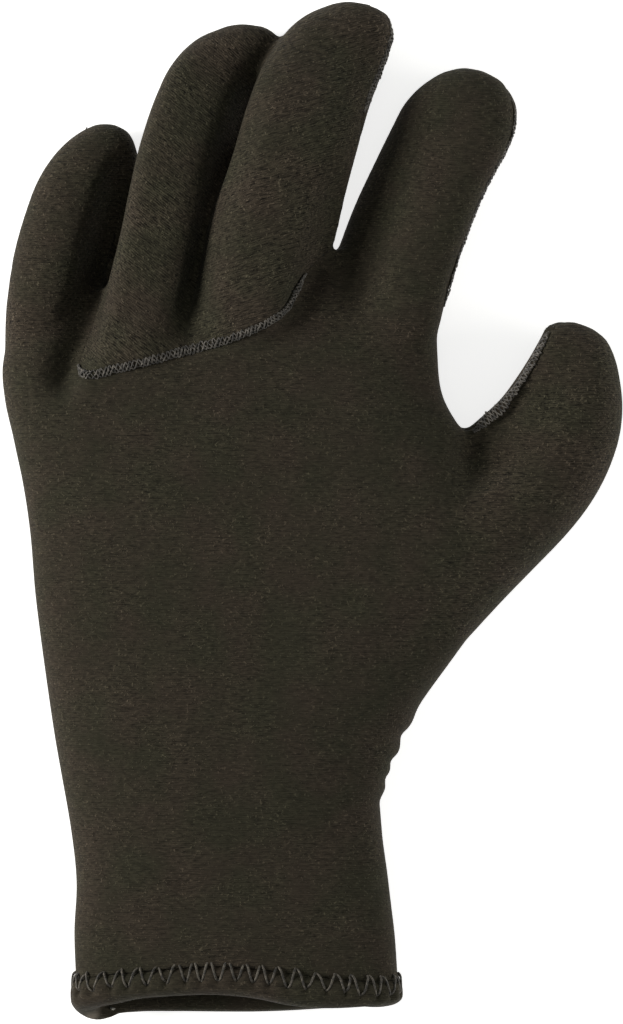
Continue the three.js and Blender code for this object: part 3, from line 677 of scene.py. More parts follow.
def fold_depth(p, normal):
    """How deep the folds press the back of the cloth in."""
    return bells(p, FOLDS) * smoothstep(0.0, 0.6, normal[:, 2])


def valley_depth(p, normal):
    """How far the valleys draw the back of the cloth down: bells across each line, of one reach on
    its left and another on its right, with a depth that goes smoothly from foot to head and fades
    past both."""
    out = np.zeros(len(p))
    up = np.nonzero(normal[:, 2] > 0.05)[0]
    for knots, left, right, *depths in VALLEYS:
        side, past, share = beside_line(p[up], along_line(knots, 60))
        reach = np.where(side > 0, left, right)
        out[up] += through([0, 0.5, 1], depths, share) * np.exp(-(side / reach) ** 2 - (past / 4.0) ** 2)
    return out * smoothstep(0.05, 0.5, normal[:, 2])


def gather_height(p, normal):
    """How far the gathers pull the wrist's edge out, on all but the underside."""
    return bells(p, GATHERS) * smoothstep(-0.8, -0.3, normal[:, 2])


def waviness(p, seed, waves, count=26):
    """Smooth unevenness between about -1 and 1: a sum of sine waves in seeded directions, whose
    lengths lie between two sizes."""
    rng = np.random.default_rng(seed)
    turn = rng.uniform(0, 2 * math.pi, (count, 2))
    tilt = rng.normal(size=(count, 3))
    tilt /= np.linalg.norm(tilt, axis=1)[:, None]
    size = rng.uniform(*waves, count)
    phase = p @ (tilt / size[:, None]).T * 2 * math.pi + turn[:, 0]
    return np.sin(phase).sum(1) / math.sqrt(count)


def form_distances(p):
    """How far points lie outside each finger's form, in the table's order, and the palm's."""
    return np.stack([finger_distance(name, p) for name in FINGERS] + [palm_distance(p)], 1)


def joined_forms(voxel):
    """The fingers' and the palm's forms joined into one skin of even squares, by a remesh."""
    forms = [closed_form(finger_grid(name)) for name in FINGERS] + [closed_form(palm_grid())]
    points, faces = gathered(forms)
    holder = bpy.data.objects.new("forms", make_mesh("forms", points, faces))
    bpy.context.collection.objects.link(holder)
    remesh = holder.modifiers.new("skin", "REMESH")
    remesh.mode = "VOXEL"
    remesh.voxel_size = voxel * MM
    seen = holder.evaluated_get(bpy.context.evaluated_depsgraph_get())
    points, faces = read_mesh(seen.to_mesh())
    bpy.data.objects.remove(holder)
    return points, outward(points, faces)


def shell_surface(voxel):
    """The outer face of the whole glove: the joined forms, their creases rounded where two of them
    meet, the underside flattened where it rests by 0.3 times its height over -0.8 mm squared, the
    folds and valleys pressed in, and slow waves over all. Returns points, triangles and the
    points as they were before the folds."""
    points, faces = joined_forms(voxel)
    points = eased(points, faces, 0.5, 6, 0.52)
    second = np.sort(form_distances(points), 1)[:, 1]
    crease = np.exp(-np.maximum(second, 0) ** 2 / (2 * 1.6 ** 2))
    points = eased(points, faces, 0.5 * crease, 16)
    height = points[:, 2]
    points[:, 2] = np.where(height < 1.2, 0.6 * np.maximum(height + 0.8, 0) ** 2 / 2.0, height)

    plain = points.copy()
    normal = point_normals(points, faces)
    points -= normal * (fold_depth(points, normal) - gather_height(points, normal))[:, None]
    drop = eased(valley_depth(points, normal)[:, None], faces, 0.5, 9)[:, 0]
    points[:, 2] -= drop
    points = eased(points, faces, 0.5 * np.clip(drop / 2, 0, 1), 6)
    points = eased(points, faces, 0.5, 2, 0.52)
    normal = point_normals(points, faces)
    upward = smoothstep(-0.2, 0.5, normal[:, 2])
    points += normal * (0.16 * waviness(points, 7, (14, 40)) * (0.3 + 0.7 * upward))[:, None]
    return points, faces, plain


def length(name, description, millimetres):
    """A length that a user may change."""
    return bpy.props.FloatProperty(
        name=name, description=description, default=millimetres * MM, unit="LENGTH")


def colour(name, description, code):
    """A colour that a user may change, as an sRGB hex value."""
    return bpy.props.StringProperty(name=name, description=description, default=code)


class GLOVE_PG_sizes(bpy.types.PropertyGroup):
    wall: length("Wall", "Thickness of the neoprene cloth", 2.6)
    panel_rise: length("Panel rise", "How far the two-finger panel stands proud at its seam", 1.4)
    skin: length("Skin", "Size of the squares of the shell's mesh", 0.9)
    seam_width: length("Seam width", "Width of the overlocked seams", 2.7)
    seam_pitch: length("Seam pitch", "Length of one overlock stitch", 1.9)
    seam_thread: length("Seam thread", "Thickness of the overlock thread", 0.62)
    hem_pitch: length("Hem stitch pitch", "Length of one zigzag of the hem", 4.2)
    hem_thread: length("Hem thread", "Thickness of the hem's thread", 0.6)


class GLOVE_PG_colours(bpy.types.PropertyGroup):
    jersey: colour("Jersey", "Lit face of the jersey", "#3c382d")
    jersey_dark: colour("Jersey, dark", "Hollows between the jersey's stitches", "#100f0c")
    thread: colour("Thread", "Overlock thread", "#66615a")
    hem_thread: colour("Hem thread", "Zigzag thread of the hem", "#5a544a")
    thread_end: colour("Thread end", "Thread left at the rim", "#c9c6bb")
    raw_edge: colour("Raw edge", "Core of the cloth where it is cut", "#7a7166")
    floor: colour("Floor", "Ground and backdrop", "#f4f4f3")


def size(name):
    """One of the glove's sizes, in mm."""
    return getattr(bpy.context.scene.glove_sizes, name) / MM


def colours():
    """The glove's colours."""
    return bpy.context.scene.glove_colours


# Materials

JERSEY_ROW = 0.55  # mm between two rows of the knit


def linear(code):
    """An sRGB hex colour as linear red, green, blue and 1."""
    channels = [int(code[i:i + 2], 16) / 255 for i in (1, 3, 5)]
    return tuple(c / 12.92 if c <= 0.04045 else ((c + 0.055) / 1.055) ** 2.4 for c in channels) + (1.0,)


def node(tree, kind, settings=None, inputs=None):
    """Adds a node with its settings, and gives its inputs numbers or links from other sockets."""
    made = tree.nodes.new(kind)
    for key, value in (settings or {}).items():
        setattr(made, key, value)
    for key, value in (inputs or {}).items():
        if isinstance(value, bpy.types.NodeSocket):
            tree.links.new(value, made.inputs[key])
        else:
            made.inputs[key].default_value = value
    return made


def blank_material(name):
    """A material with one shader, its node tree and the shader."""
    material = bpy.data.materials.new(name)
    material.use_nodes = True
    tree = material.node_tree
    tree.nodes.clear()
    shader = node(tree, "ShaderNodeBsdfPrincipled")
    node(tree, "ShaderNodeOutputMaterial", inputs={"Surface": shader.outputs[0]})
    return material, tree, shader


def arithmetic(tree, operation, first, second=0.0, third=None):
    """The result of a sum on numbers or sockets."""
    inputs = {0: first, 1: second}
    if third is not None:
        inputs[2] = third
    return node(tree, "ShaderNodeMath", {"operation": operation}, inputs).outputs[0]


def jersey_material():
    """Nylon jersey laminated on neoprene: matt black cloth gone brown-grey, in rows of tiny knitted
    loops that show as short broken dashes, with bright specks where a loop catches the light."""
    name = "nylon_jersey_on_neoprene"
    if name in bpy.data.materials:
        return bpy.data.materials[name]
    material, tree, shader = blank_material(name)
    place = node(tree, "ShaderNodeTexCoord").outputs["Object"]
    # the cloth's own fields: the turn of its rows and how strongly they show
    lay = node(tree, "ShaderNodeAttribute", {"attribute_name": "lay"}).outputs["Fac"]
    grain = node(tree, "ShaderNodeAttribute", {"attribute_name": "grain"}).outputs["Fac"]
    turned = node(tree, "ShaderNodeVectorRotate", {"rotation_type": "Z_AXIS"},
                  {"Vector": place, "Angle": lay}).outputs[0]
    axes = node(tree, "ShaderNodeSeparateXYZ", inputs={0: turned})
    # rows of loops, a little further apart than such jersey has them, so that they show
    warp = node(tree, "ShaderNodeTexNoise", inputs={"Vector": turned, "Scale": 300.0, "Detail": 2.0})
    rows = arithmetic(tree, "SINE", arithmetic(
        tree, "MULTIPLY_ADD", axes.outputs["Y"], 2 * math.pi / (JERSEY_ROW * MM),
        arithmetic(tree, "MULTIPLY", warp.outputs["Fac"], 9.0)))
    # dashes about 1.8 mm long and 0.5 mm thick
    stretch = node(tree, "ShaderNodeMapping", inputs={"Vector": turned, "Scale": (560.0, 1900.0, 1000.0)})
    dashes = node(tree, "ShaderNodeTexNoise", inputs={
        "Vector": stretch.outputs[0], "Scale": 1.0, "Detail": 2.5, "Roughness": 0.65})
    dash = arithmetic(tree, "MULTIPLY_ADD", dashes.outputs["Fac"], 5.2, -2.6)
    height = arithmetic(tree, "MULTIPLY_ADD", rows, 0.28, dash)
    # specks 0.7 mm across: the tops of single loops
    dots = node(tree, "ShaderNodeTexNoise", inputs={
        "Vector": turned, "Scale": 1500.0, "Detail": 1.0, "Roughness": 0.5}).outputs["Fac"]
    specks = node(tree, "ShaderNodeMapRange", {"interpolation_type": "SMOOTHSTEP"}, {
        "Value": dots, "From Min": 0.6, "From Max": 0.74, "To Max": 2.6}).outputs["Result"]
    # the grain comes and goes over 8 to 20 mm, as the pile is brushed flat here and there
    fade = node(tree, "ShaderNodeTexNoise", inputs={"Vector": place, "Scale": 90.0, "Detail": 2.0})
    strength = arithmetic(tree, "MULTIPLY", grain, arithmetic(
        tree, "MULTIPLY_ADD", fade.outputs["Fac"], 1.8, 0.1))
    shown = arithmetic(tree, "MULTIPLY", strength, arithmetic(
        tree, "ADD", arithmetic(tree, "ADD", height, 0.4), specks))
    light = node(tree, "ShaderNodeMapRange", {"clamp": False}, {
        "Value": shown, "From Min": -2.2, "From Max": 1.8}).outputs["Result"]
    light = arithmetic(tree, "MINIMUM", arithmetic(tree, "MAXIMUM", light, 0.0), 2.4)
    shade = node(tree, "ShaderNodeMix", {"data_type": "RGBA", "clamp_factor": False}, {
        "Factor": light, "A": linear(colours().jersey_dark), "B": linear(colours().jersey)})
    # wear: patches of about 14 mm, some a little browner and paler, some greener and darker
    patches = node(tree, "ShaderNodeTexNoise", inputs={"Vector": place, "Scale": 70.0, "Detail": 3.0})
    tint = node(tree, "ShaderNodeMapRange", inputs={
        "Value": patches.outputs["Fac"], "From Min": 0.36, "From Max": 0.64}).outputs["Result"]
    worn = node(tree, "ShaderNodeMix", {"data_type": "RGBA", "blend_type": "MULTIPLY"}, {
        "Factor": 1.0, "A": shade.outputs["Result"],
        "B": node(tree, "ShaderNodeMix", {"data_type": "RGBA"}, {
            "Factor": tint, "A": (0.92, 0.98, 0.96, 1.0), "B": (1.1, 1.01, 1.1, 1.0)},
        ).outputs["Result"]})
    # where the cloth's cut edge shows, its paler core
    core = node(tree, "ShaderNodeAttribute", {"attribute_name": "raw"}).outputs["Fac"]
    cloth = node(tree, "ShaderNodeMix", {"data_type": "RGBA"}, {
        "Factor": core, "A": worn.outputs["Result"], "B": linear(colours().raw_edge)})
    tree.links.new(cloth.outputs["Result"], shader.inputs["Base Color"])
    shader.inputs["Roughness"].default_value = 0.9
    shader.inputs["Specular IOR Level"].default_value = 0.1
    shader.inputs["Sheen Weight"].default_value = 0.03
    shader.inputs["Sheen Roughness"].default_value = 0.45
    bump = node(tree, "ShaderNodeBump", inputs={
        "Strength": 0.6, "Distance": 0.0001, "Height": shown})
    tree.links.new(bump.outputs[0], shader.inputs["Normal"])
    return material


def dress(piece, **fields):
    """Stores fields of a piece's points as attributes that its material reads."""
    for name, values in fields.items():
        layer = piece.data.attributes.new(name, "FLOAT", "POINT")
        layer.data.foreach_set("value", np.broadcast_to(values, len(piece.data.vertices)).astype(np.float32))


def thread_material(name, colour, bloom):
    """Spun textured nylon thread: a matt twisted yarn, its fibres showing as fine slanted streaks."""
    if name in bpy.data.materials:
        return bpy.data.materials[name]
    material, tree, shader = blank_material(name)
    place = node(tree, "ShaderNodeTexCoord").outputs["Object"]
    fibres = node(tree, "ShaderNodeTexNoise", inputs={"Vector": place, "Scale": 2600.0, "Detail": 3.0})
    patches = node(tree, "ShaderNodeTexNoise", inputs={"Vector": place, "Scale": 800.0, "Detail": 2.0})
    mixed = arithmetic(tree, "MULTIPLY_ADD", patches.outputs["Fac"], 0.8,
                       arithmetic(tree, "MULTIPLY", fibres.outputs["Fac"], 0.5))
    light = node(tree, "ShaderNodeMapRange", inputs={
        "Value": mixed, "From Min": 0.55, "From Max": 0.8}).outputs["Result"]
    base = linear(colour)
    dark = tuple(c * 0.13 for c in base[:3]) + (1.0,)
    shade = node(tree, "ShaderNodeMix", {"data_type": "RGBA"}, {"Factor": light, "A": dark, "B": base})
    tree.links.new(shade.outputs["Result"], shader.inputs["Base Color"])
    shader.inputs["Roughness"].default_value = 0.7
    shader.inputs["Sheen Weight"].default_value = bloom
    bump = node(tree, "ShaderNodeBump", inputs={
        "Strength": 0.4, "Distance": 0.00008, "Height": fibres.outputs["Fac"]})
    tree.links.new(bump.outputs[0], shader.inputs["Normal"])
    return material


def floor_material():
    """Smooth matt paper."""
    material, _, shader = blank_material("white_paper")
    shader.inputs["Base Color"].default_value = linear(colours().floor)
    shader.inputs["Roughness"].default_value = 0.9
    shader.inputs["Emission Color"].default_value = (1.0, 1.0, 1.0, 1.0)
    shader.inputs["Emission Strength"].default_value = 0.75
    return material


# What the seams and stitches lie on: the outer faces, kept by the shell's operator
outer_faces = {}


def nearest(tree, points):
    """The nearest place and normal on a surface for each point of a path."""
    found = [tree.find_nearest(Vector(p)) for p in points]
    return np.array([f[0] for f in found]), np.array([f[1] for f in found])


def from_above(tree, points):
    """The heights at which lines straight down through the points meet a surface."""
    hits = [tree.ray_cast(Vector((x, y, 60.0)), Vector((0, 0, -1))) for x, y in points]
    return np.array([h[0].z if h[0] else np.nan for h in hits])


# Columns of the shell's points, after x, y and z: the height over the parting, the distance inside
# the two-finger panel's border, the share of that border's length, the turn of the knit's rows and
# how strongly they show
PART, INSET, SHARE, LAY, GRAIN = 3, 4, 5, 6, 7
RING_LAY, MIDDLE_LAY = 38, -16  # degrees by which the rows turn on the panel's two fingers


def shell_data(points, plain, line):
    """The shell's points with their columns, worked out from where they were before the folds."""
    away = form_distances(plain)
    inset, _, share = beside_line(plain, line)
    part = plain[:, 2] - parting_height(plain, away)
    lay = np.where(away[:, 1] < away[:, 2], math.radians(RING_LAY), math.radians(MIDDLE_LAY))
    near = [smoothstep(4.0, -1.0, v) for v in away.T]
    grain = 1.35 + 0.8 * near[0] + 0.9 * near[4] + 0.2 * near[3]
    return np.column_stack([points, part, inset, share, lay, grain])


def bordered(name, rows, tris, at, first, last):
    """A panel's points with a groove along its sewn borders, and the two-finger panel raised at
    its seam: each a bell of the distance from the border, where the seam runs."""
    p = rows[:, :3].copy()
    edge = np.abs(rows[:, PART])
    if name != "palm_panel":
        sewn = smoothstep(first - 16, first, at) * (1 - smoothstep(last, last + 12, at))
        edge = np.minimum(edge, np.abs(rows[:, INSET]) + 3.0 * (1 - sewn))
    p -= point_normals(p, tris) * (GROOVE * np.exp(-(edge / GROOVE_REACH) ** 2))[:, None]
    if name == "finger_panel":
        rise = size("panel_rise")
        rise *= smoothstep(first - 2, first + 20, at) * (1 - smoothstep(last - 18, last - 2, at))
        rise *= np.exp(-(np.maximum(rows[:, INSET], 0) / RISE_REACH) ** 2)
        p[:, 2] += eased(rise[:, None], tris, 0.5, 8)[:, 0]
    return p


class GLOVE_OT_shell(bpy.types.Operator):
    """Builds the neoprene shell as three panels: back, two fingers and palm"""
    bl_idname = "glove.shell"
    bl_label = "Shell panels"

    def execute(self, context):
        points, faces, plain = shell_surface(size("skin"))
        line, first, last = panel_edge_line(520)
        wrist = points[:, 1] - stitches_at(wrist_turn(points)) - HEM_GAP
        body, faces = cut(shell_data(points, plain, line), faces, wrist)
        above, above_faces = cut(body, faces, body[:, PART])
        panels = {
            "palm_panel": cut(body, faces, -body[:, PART]),
            "back_panel": cut(above, above_faces, -above[:, INSET]),
            "finger_panel": cut(above, above_faces, above[:, INSET]),
        }
        for name, (rows, tris) in panels.items():
            p = bordered(name, rows, tris, rows[:, SHARE] * (len(line) - 1), first, last)
            outer_faces[name] = (p, tris)
            piece = make_piece("neoprene_" + name, p, tris, jersey_material(), [name])
            # the knit's rows lie across the hand, and aslant on the two fingers of the panel
            if name == "finger_panel":
                dress(piece, lay=rows[:, LAY], grain=2.3)
            else:
                dress(piece, lay=0.0, grain=rows[:, GRAIN])
            wall = piece.modifiers.new("wall", "SOLIDIFY")
            wall.thickness = size("wall") * MM
            wall.offset = -1
            wall.use_rim = True
        return {"FINISHED"}


# In mm: how far a stitch pulls the hem in and how far it pushes its inside out, the reach of that
# along the hem, and how far it lies below the line where the hem ends
DIMPLE, BULGE_INSIDE, DIMPLE_REACH, DIMPLE_DROP = 0.75, 0.5, 0.75, 3.3


def hem_profile(count=72):
    """The folded cloth cut through: how far out each point lies, in mm, and its share of the way
    from the rim to the stitches. It goes down the outside, round the rim, up the inside and
    over the lip that is turned in."""
    back, inner = -HEM_WALL - HEM_SEAT, -2 * HEM_WALL - HEM_SEAT
    lip = 1 + HEM_LIP / HEM_HEIGHT
    corners = np.array([
        (0.0, 1.0), (0.75 * HEM_BULGE, 0.82), (HEM_BULGE, 0.5), (0.75 * HEM_BULGE, 0.2),
        (-0.35 * HEM_WALL, 0.0), (inner / 2 - 0.35 * HEM_WALL, 0.0), (inner, 0.2),
        (inner, lip - 0.1), (inner + HEM_WALL / 4, lip), (back - HEM_WALL / 4, lip), (back, 1.0),
        (0.0, 1.0),
    ])
    return through(np.arange(len(corners)), corners, np.linspace(0, len(corners) - 1, count)[:-1])


class GLOVE_OT_hem(bpy.types.Operator):
    """Builds the folded hem round the wrist"""
    bl_idname = "glove.hem"
    bl_label = "Folded hem"

    def execute(self, context):
        profile = hem_profile()
        turn = np.linspace(0, 2 * math.pi, 960, endpoint=False)
        centre, half, middle, deep = wrist_box()
        c, s = rounded_box(turn, PALM_SQUARENESS)
        low, high = rim_at(turn)[:, None], stitches_at(turn)[:, None]
        y = low + (high - low) * profile[None, :, 1]
        # dimples where the needle went in: bells round the lower turns of the zigzag, and on the
        # inside bulges
        phase = stitch_phase(turn)[:, None]
        beside = (phase - 0.5 - np.round(phase - 0.5)) * size("hem_pitch")
        dimple = np.exp(-(beside / DIMPLE_REACH) ** 2 - (y - high + DIMPLE_DROP) ** 2)
        outside = profile[None, :, 0] > -1.0
        out = profile[None, :, 0] - np.where(outside, DIMPLE, -BULGE_INSIDE) * dimple
        # and the cloth swells a little between them
        out = out + 0.12 * np.cos(2 * math.pi * phase) * np.exp(-((y - high + 3.6) / 2.5) ** 2) * outside
        x = centre + (half + out) * c[:, None]
        z = middle + (deep + out) * s[:, None]
        grid = np.stack([x, y, z], 2)
        rows, columns, _ = grid.shape
        quads = grid_faces(rows + 1, columns) % (rows * columns)
        points = grid.reshape(-1, 3)
        tris = outward(points, np.concatenate([quads[:, [0, 1, 2]], quads[:, [0, 2, 3]]]))
        outer_faces["hem"] = (points, tris)
        piece = make_piece("folded_hem", points, tris, jersey_material(), ["cuff_hem"])
        raw = np.exp(-(((points[:, :2] - RAW_EDGE[:2]) / RAW_EDGE[2:]) ** 2).sum(1) ** 2)
        raw *= smoothstep(RAW_EDGE_ABOVE, RAW_EDGE_BELOW, points[:, 2])
        dress(piece, lay=0.0, grain=1.2, raw=raw)
        return {"FINISHED"}


def lace(line, up, side, width, pitch, thick, seed, dome=0.75, strands=2):
    """An overlocked seam: threads that swing from edge to edge over a low ridge. Each follows
    the line by its length s, sideways by half the width times a rounded triangle wave of s over
    twice the pitch, and rises as a circle's arc over the middle."""
    rng = np.random.default_rng(seed)
    run = np.concatenate([[0], np.cumsum(np.linalg.norm(np.diff(line, axis=0), axis=1))])
    count = int(run[-1] / 0.12)
    s = np.linspace(0, run[-1], count)
    on = np.stack([np.interp(s, run, line[:, k]) for k in range(3)], 1)
    rise = np.stack([np.interp(s, run, up[:, k]) for k in range(3)], 1)
    across = np.stack([np.interp(s, run, side[:, k]) for k in range(3)], 1)
    drift = np.cumsum(rng.normal(0, 0.03, count))
    drift -= np.linspace(0, drift[-1], count)
    knots = np.linspace(0, run[-1], int(run[-1] / (0.8 * pitch)) + 2)
    parts = []
    for strand in range(strands):
        slack, lift, body = (np.interp(s, knots, rng.uniform(-1, 1, len(knots))) for _ in range(3))
        phase = s / (2 * pitch) + strand / strands + 0.5 * drift + 0.07 * slack
        wave = np.sin(2 * math.pi * phase)
        swing = np.arcsin(0.96 * wave) / math.asin(0.96)
        reach = width / 2 * (1 + 0.24 * slack)
        ends = smoothstep(0, 5.0, s) * (1 - smoothstep(run[-1] - 6.0, run[-1], s))
        reach *= 0.25 + 0.75 * ends
        over = 0.5 * thick * np.sign(np.cos(2 * math.pi * phase)) * (1 - swing ** 2)
        height = dome * np.sqrt(np.maximum(1 - 0.92 * swing ** 2, 0)) + 0.35 * over + 0.14 * lift
        height *= 0.2 + 0.8 * ends
        path = on + across * (reach * swing)[:, None] + rise * height[:, None]
        parts.append(tube(path, thick / 2 * (1 + 0.25 * body), rise))
    return parts


def ridge(line, up, side, width, dome):
    """The soft ridge under an overlocked seam: half an ellipse carried along its line."""
    turn = np.linspace(0, 2 * math.pi, 20, endpoint=False)
    share = np.linspace(0, 1, len(line))
    taper = 0.1 + 0.9 * smoothstep(0, 0.1, share) * (1 - smoothstep(0.9, 1, share))
    ring = (side[:, None] * (width / 2 * np.cos(turn))[None, :, None]
            + up[:, None] * (dome * np.sin(turn))[None, :, None])
    return closed_form(line[:, None] + ring * taper[:, None, None])


def side_seam_line(name, count=160):
    """The line along one edge of a finger at its seam's height, on its rounded box, in mm."""
    finger, hand, low, high, up, _ = SIDE_SEAMS[name]
    root, along, across, length = finger_frame(finger)
    at = low + (high - low) * np.sin(np.linspace(0, math.pi / 2, count))
    centre, half, lift, deep = finger_shape(finger, at)
    share = (1 - abs(up) ** FINGER_SQUARENESS) ** (1 / FINGER_SQUARENESS)
    xy = root + at[:, None] * length * along + (centre + hand * half * share)[:, None] * across
    return np.column_stack([xy, lift + up * deep])


def unit(vectors):
    """Vectors drawn to the length of 1."""
    return vectors / np.linalg.norm(vectors, axis=1)[:, None]


def base_seam_path(trees):
    """The base seam's line, and its directions up and sideways: midway between the back of the
    hand on one side and the raised panel on the other, and aslant as they lie."""
    edge, first, last = panel_edge_line(1600)
    plan = edge[first:last + 1:2]
    ahead = unit(np.gradient(plan, axis=0))
    beside = np.stack([-ahead[:, 1], ahead[:, 0]], 1)
    low = from_above(trees["back_panel"], plan - 1.1 * beside)
    high = from_above(trees["finger_panel"], plan + 1.3 * beside)
    low, high = (running_mean(np.where(np.isfinite(v), v, np.nanmean(v)), 9) for v in (low, high))
    line = np.column_stack([plan, (low + high) / 2])
    side = unit(np.column_stack([2.4 * beside, high - low]))
    up = unit(np.cross(np.gradient(line, axis=0), side))
    return line, up * np.sign(up[:, 2:3]), side


def side_seam_path(name, trees):
    """A side seam's line, and its directions up and sideways, on the nearest of the panels."""
    guess = side_seam_line(name)
    on, normal = nearest(trees["palm_panel"], guess)
    for other in ("back_panel", "finger_panel"):
        at, n = nearest(trees[other], guess)
        closer = np.linalg.norm(at - guess, axis=1) < np.linalg.norm(on - guess, axis=1)
        on, normal = np.where(closer[:, None], at, on), np.where(closer[:, None], n, normal)
    on, normal = (np.stack([running_mean(column, 7) for column in v.T], 1) for v in (on, normal))
    normal = unit(normal)
    side = unit(np.cross(np.gradient(on, axis=0), normal))
    return on + 0.05 * normal, normal, side


def make_seam(name, parts, node_name):
    """A seam of threads and, last, the ridge of dark jersey under them."""
    thread = thread_material("textured_nylon_overlock_thread", colours().thread, 0.2)
    points, faces = gathered(parts)
    make_piece(name, points, faces, thread, [node_name],
               (jersey_material(), len(parts[-1][1])))


class GLOVE_OT_seams(bpy.types.Operator):
    """Builds the raised overlocked seams"""
    bl_idname = "glove.seams"
    bl_label = "Overlocked seams"

    def execute(self, context):
        if not outer_faces:
            raise RuntimeError("build the shell before its seams")
        width, pitch, thick = size("seam_width"), size("seam_pitch"), size("seam_thread")
        trees = {name: BVHTree.FromPolygons(p.tolist(), f.tolist())
                 for name, (p, f) in outer_faces.items() if name != "hem"}
        line, up, side = base_seam_path(trees)
        parts = lace(line, up, side, width * 0.84, pitch * 0.85, thick * 0.62, 3, strands=3)
        parts.append(ridge(line, up, side, width * 0.84, 0.6))
        make_seam("overlock_base_seam", parts, "finger_base_seam")
        for i, (name, seam) in enumerate(SIDE_SEAMS.items()):
            line, up, side = side_seam_path(name, trees)
            wide = width * seam[-1]
            parts = lace(line, up, side, wide, pitch * 0.8, thick * 0.62, 11 + i, dome=0.5, strands=3)
            parts.append(ridge(line, up, side, wide * 0.92, 0.36))
            make_seam("overlock_" + name, parts, name)
        return {"FINISHED"}


def zigzag_path():
    """The hem's thread as a path round the wrist, and its direction out of the cloth. It swings
    about its line by a rounded triangle wave of the stitches' running number, each half of it by a
    seeded share, and lies on the cloth but for its turns, where it dips in by the sixth power of
    the swing."""
    centre, half, middle, deep = wrist_box()
    fine = np.linspace(0, 2 * math.pi, 4001)
    count = stitch_phase(fine)
    teeth = round(count[-1])
    phase = np.linspace(0, teeth, teeth * 24 + 1)
    turn = np.interp(phase, count, fine)
    wave = 2 * np.abs(2 * (phase % 1) - 1) - 1
    swing = np.sign(wave) * np.abs(np.sin(wave * math.pi / 2)) ** 0.9
    out = 0.75 - 0.85 * np.abs(swing) ** 6 + 0.3 * (1 - swing) / 2
    uneven = np.random.default_rng(9).uniform(0.78, 1.12, 2 * teeth)
    swing *= uneven[np.minimum((2 * phase).astype(int), 2 * teeth - 1)] ** (np.abs(swing) > 0.02)
    c, s = rounded_box(turn, PALM_SQUARENESS)
    y = stitches_at(turn) - ZIGZAG_DROP + ZIGZAG_REACH * swing
    path = np.column_stack([centre + (half + out) * c, y, middle + (deep + out) * s])
    up = np.column_stack([c * half, np.zeros(len(c)), s * deep * 3])
    up /= np.linalg.norm(up, axis=1)[:, None] + 1e-9
    return path[:-1], up[:-1]


class GLOVE_OT_stitches(bpy.types.Operator):
    """Builds the zigzag stitches of the hem and the thread's end"""
    bl_idname = "glove.stitches"
    bl_label = "Hem stitches"

    def execute(self, context):
        if "hem" not in outer_faces:
            raise RuntimeError("build the hem before its stitches")
        path, up = zigzag_path()
        points, faces = gathered([tube(path, size("hem_thread") / 2, up)])
        material = thread_material("black_nylon_hem_thread", colours().hem_thread, 0.1)
        make_piece("hem_zigzag_stitches", points, faces, material)
        upright = np.tile((0.0, 0.0, 1.0), (len(THREAD_END), 1))
        points, faces = gathered([tube(THREAD_END, THREAD_END_RADIUS, upright)])
        material = thread_material("white_nylon_thread_end", colours().thread_end, 0.1)
        make_piece("hem_thread_end", points, faces, material)
        return {"FINISHED"}


FLOOR_REACH = 4000.0  # mm from its middle to its sides
FLOOR_DROP = 0.00005  # m below the glove, so that the two don't flicker
DAYLIGHT, DAYLIGHT_STRENGTH = (0.97, 1.0, 0.96, 1.0), 0.22
# Softboxes: place and side in m, and power in W
SOFTBOXES = {
    "key_softbox": ((-1.2, 0.08, 0.6), 0.5, 18.4),
    "fill_softbox": ((1.2, -0.05, 0.42), 0.5, 6.5),
    "top_softbox": ((0.0, -0.1, 1.9), 0.7, 1.2),
}
SOFTBOX_COLOUR = (1.0, 0.968, 0.92)
LENS, SENSOR = 300.0, 36.0  # mm, long enough to see hardly any perspective
PHOTO_HEIGHT, PIXEL = 1024, 0.0002554  # pixels, and m that one shows at the focus height
EYE_SHIFT = (0.00036, -0.00066)  # m, from above the frame's middle
FOCUS_HEIGHT = 0.010  # m above the floor, about where the glove's outline lies


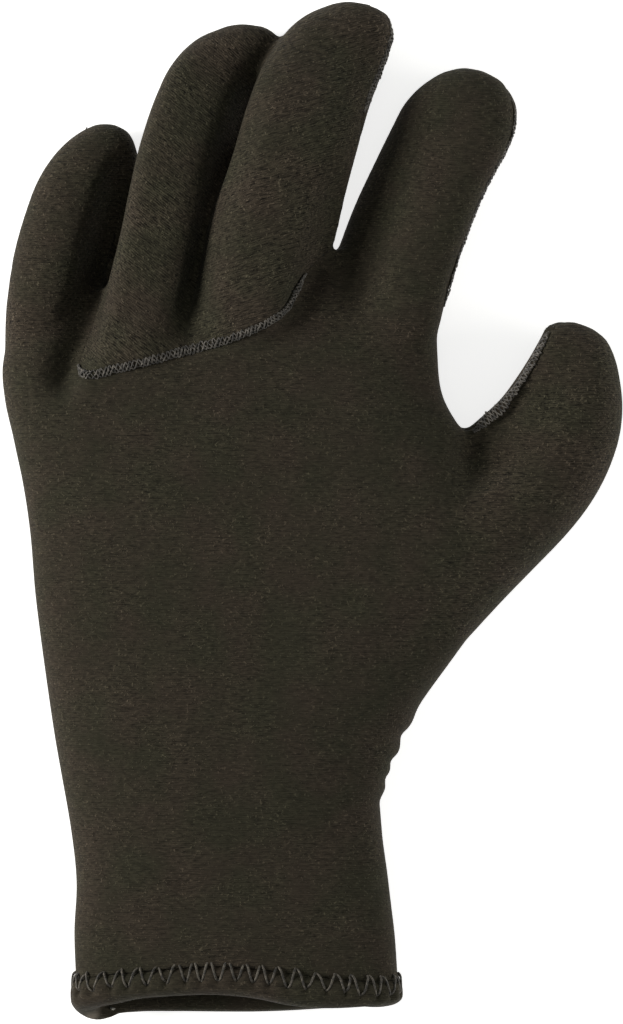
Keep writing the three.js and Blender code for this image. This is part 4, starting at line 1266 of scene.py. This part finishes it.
class GLOVE_OT_stage(bpy.types.Operator):
    """Builds the floor, the lights and the camera straight above"""
    bl_idname = "glove.stage"
    bl_label = "Stage"

    def execute(self, context):
        scene = context.scene
        corners = FLOOR_REACH * np.array([(-1, -1, 0), (1, -1, 0), (1, 1, 0), (-1, 1, 0)])
        mesh = make_mesh("floor", corners - SHIFT * (1, 1, 0), [(0, 1, 2, 3)], False)
        floor = bpy.data.objects.new("floor", mesh)
        scene.collection.objects.link(floor)
        floor.location.z = -FLOOR_DROP
        floor.data.materials.append(floor_material())
        world = bpy.data.worlds.new("soft_daylight")
        scene.world = world
        world.use_nodes = True
        background = world.node_tree.nodes["Background"]
        background.inputs["Color"].default_value = DAYLIGHT
        background.inputs["Strength"].default_value = DAYLIGHT_STRENGTH
        for name, (place, side, power) in SOFTBOXES.items():
            light = bpy.data.lights.new(name, "AREA")
            light.shape = "SQUARE"
            light.size = side
            light.energy = power
            light.color = SOFTBOX_COLOUR
            lamp = bpy.data.objects.new(name, light)
            lamp.location = place
            lamp.rotation_euler = (Vector() - Vector(place)).to_track_quat("-Z", "Y").to_euler()
            scene.collection.objects.link(lamp)
        camera = bpy.data.cameras.new("camera")
        camera.lens = LENS
        camera.sensor_width = SENSOR
        eye = bpy.data.objects.new("camera", camera)
        distance = PHOTO_HEIGHT * PIXEL * camera.lens / camera.sensor_width
        eye.location = (*EYE_SHIFT, FOCUS_HEIGHT + distance)
        scene.collection.objects.link(eye)
        scene.camera = eye
        scene.view_settings.view_transform = "Standard"
        return {"FINISHED"}


class GLOVE_PT_panel(bpy.types.Panel):
    """Shows the glove's sizes and colours, and a button for each step of the build"""
    bl_idname = "GLOVE_PT_panel"
    bl_label = "Diving glove"
    bl_space_type = "VIEW_3D"
    bl_region_type = "UI"
    bl_category = "Glove"

    def draw(self, context):
        for group in (context.scene.glove_sizes, context.scene.glove_colours):
            for name in group.__annotations__:
                self.layout.prop(group, name)
        for step in STEPS:
            self.layout.operator(step.bl_idname)


STEPS = (GLOVE_OT_shell, GLOVE_OT_hem, GLOVE_OT_seams, GLOVE_OT_stitches, GLOVE_OT_stage)
CLASSES = (GLOVE_PG_sizes, GLOVE_PG_colours, *STEPS, GLOVE_PT_panel)


def register():
    for cls in CLASSES:
        bpy.utils.register_class(cls)
    bpy.types.Scene.glove_sizes = bpy.props.PointerProperty(type=GLOVE_PG_sizes)
    bpy.types.Scene.glove_colours = bpy.props.PointerProperty(type=GLOVE_PG_colours)


def unregister():
    del bpy.types.Scene.glove_sizes
    del bpy.types.Scene.glove_colours
    for cls in reversed(CLASSES):
        bpy.utils.unregister_class(cls)


def main():
    register()
    bpy.ops.glove.shell()
    bpy.ops.glove.hem()
    bpy.ops.glove.seams()
    bpy.ops.glove.stitches()
    bpy.ops.glove.stage()


if __name__ == "__main__":
    main()
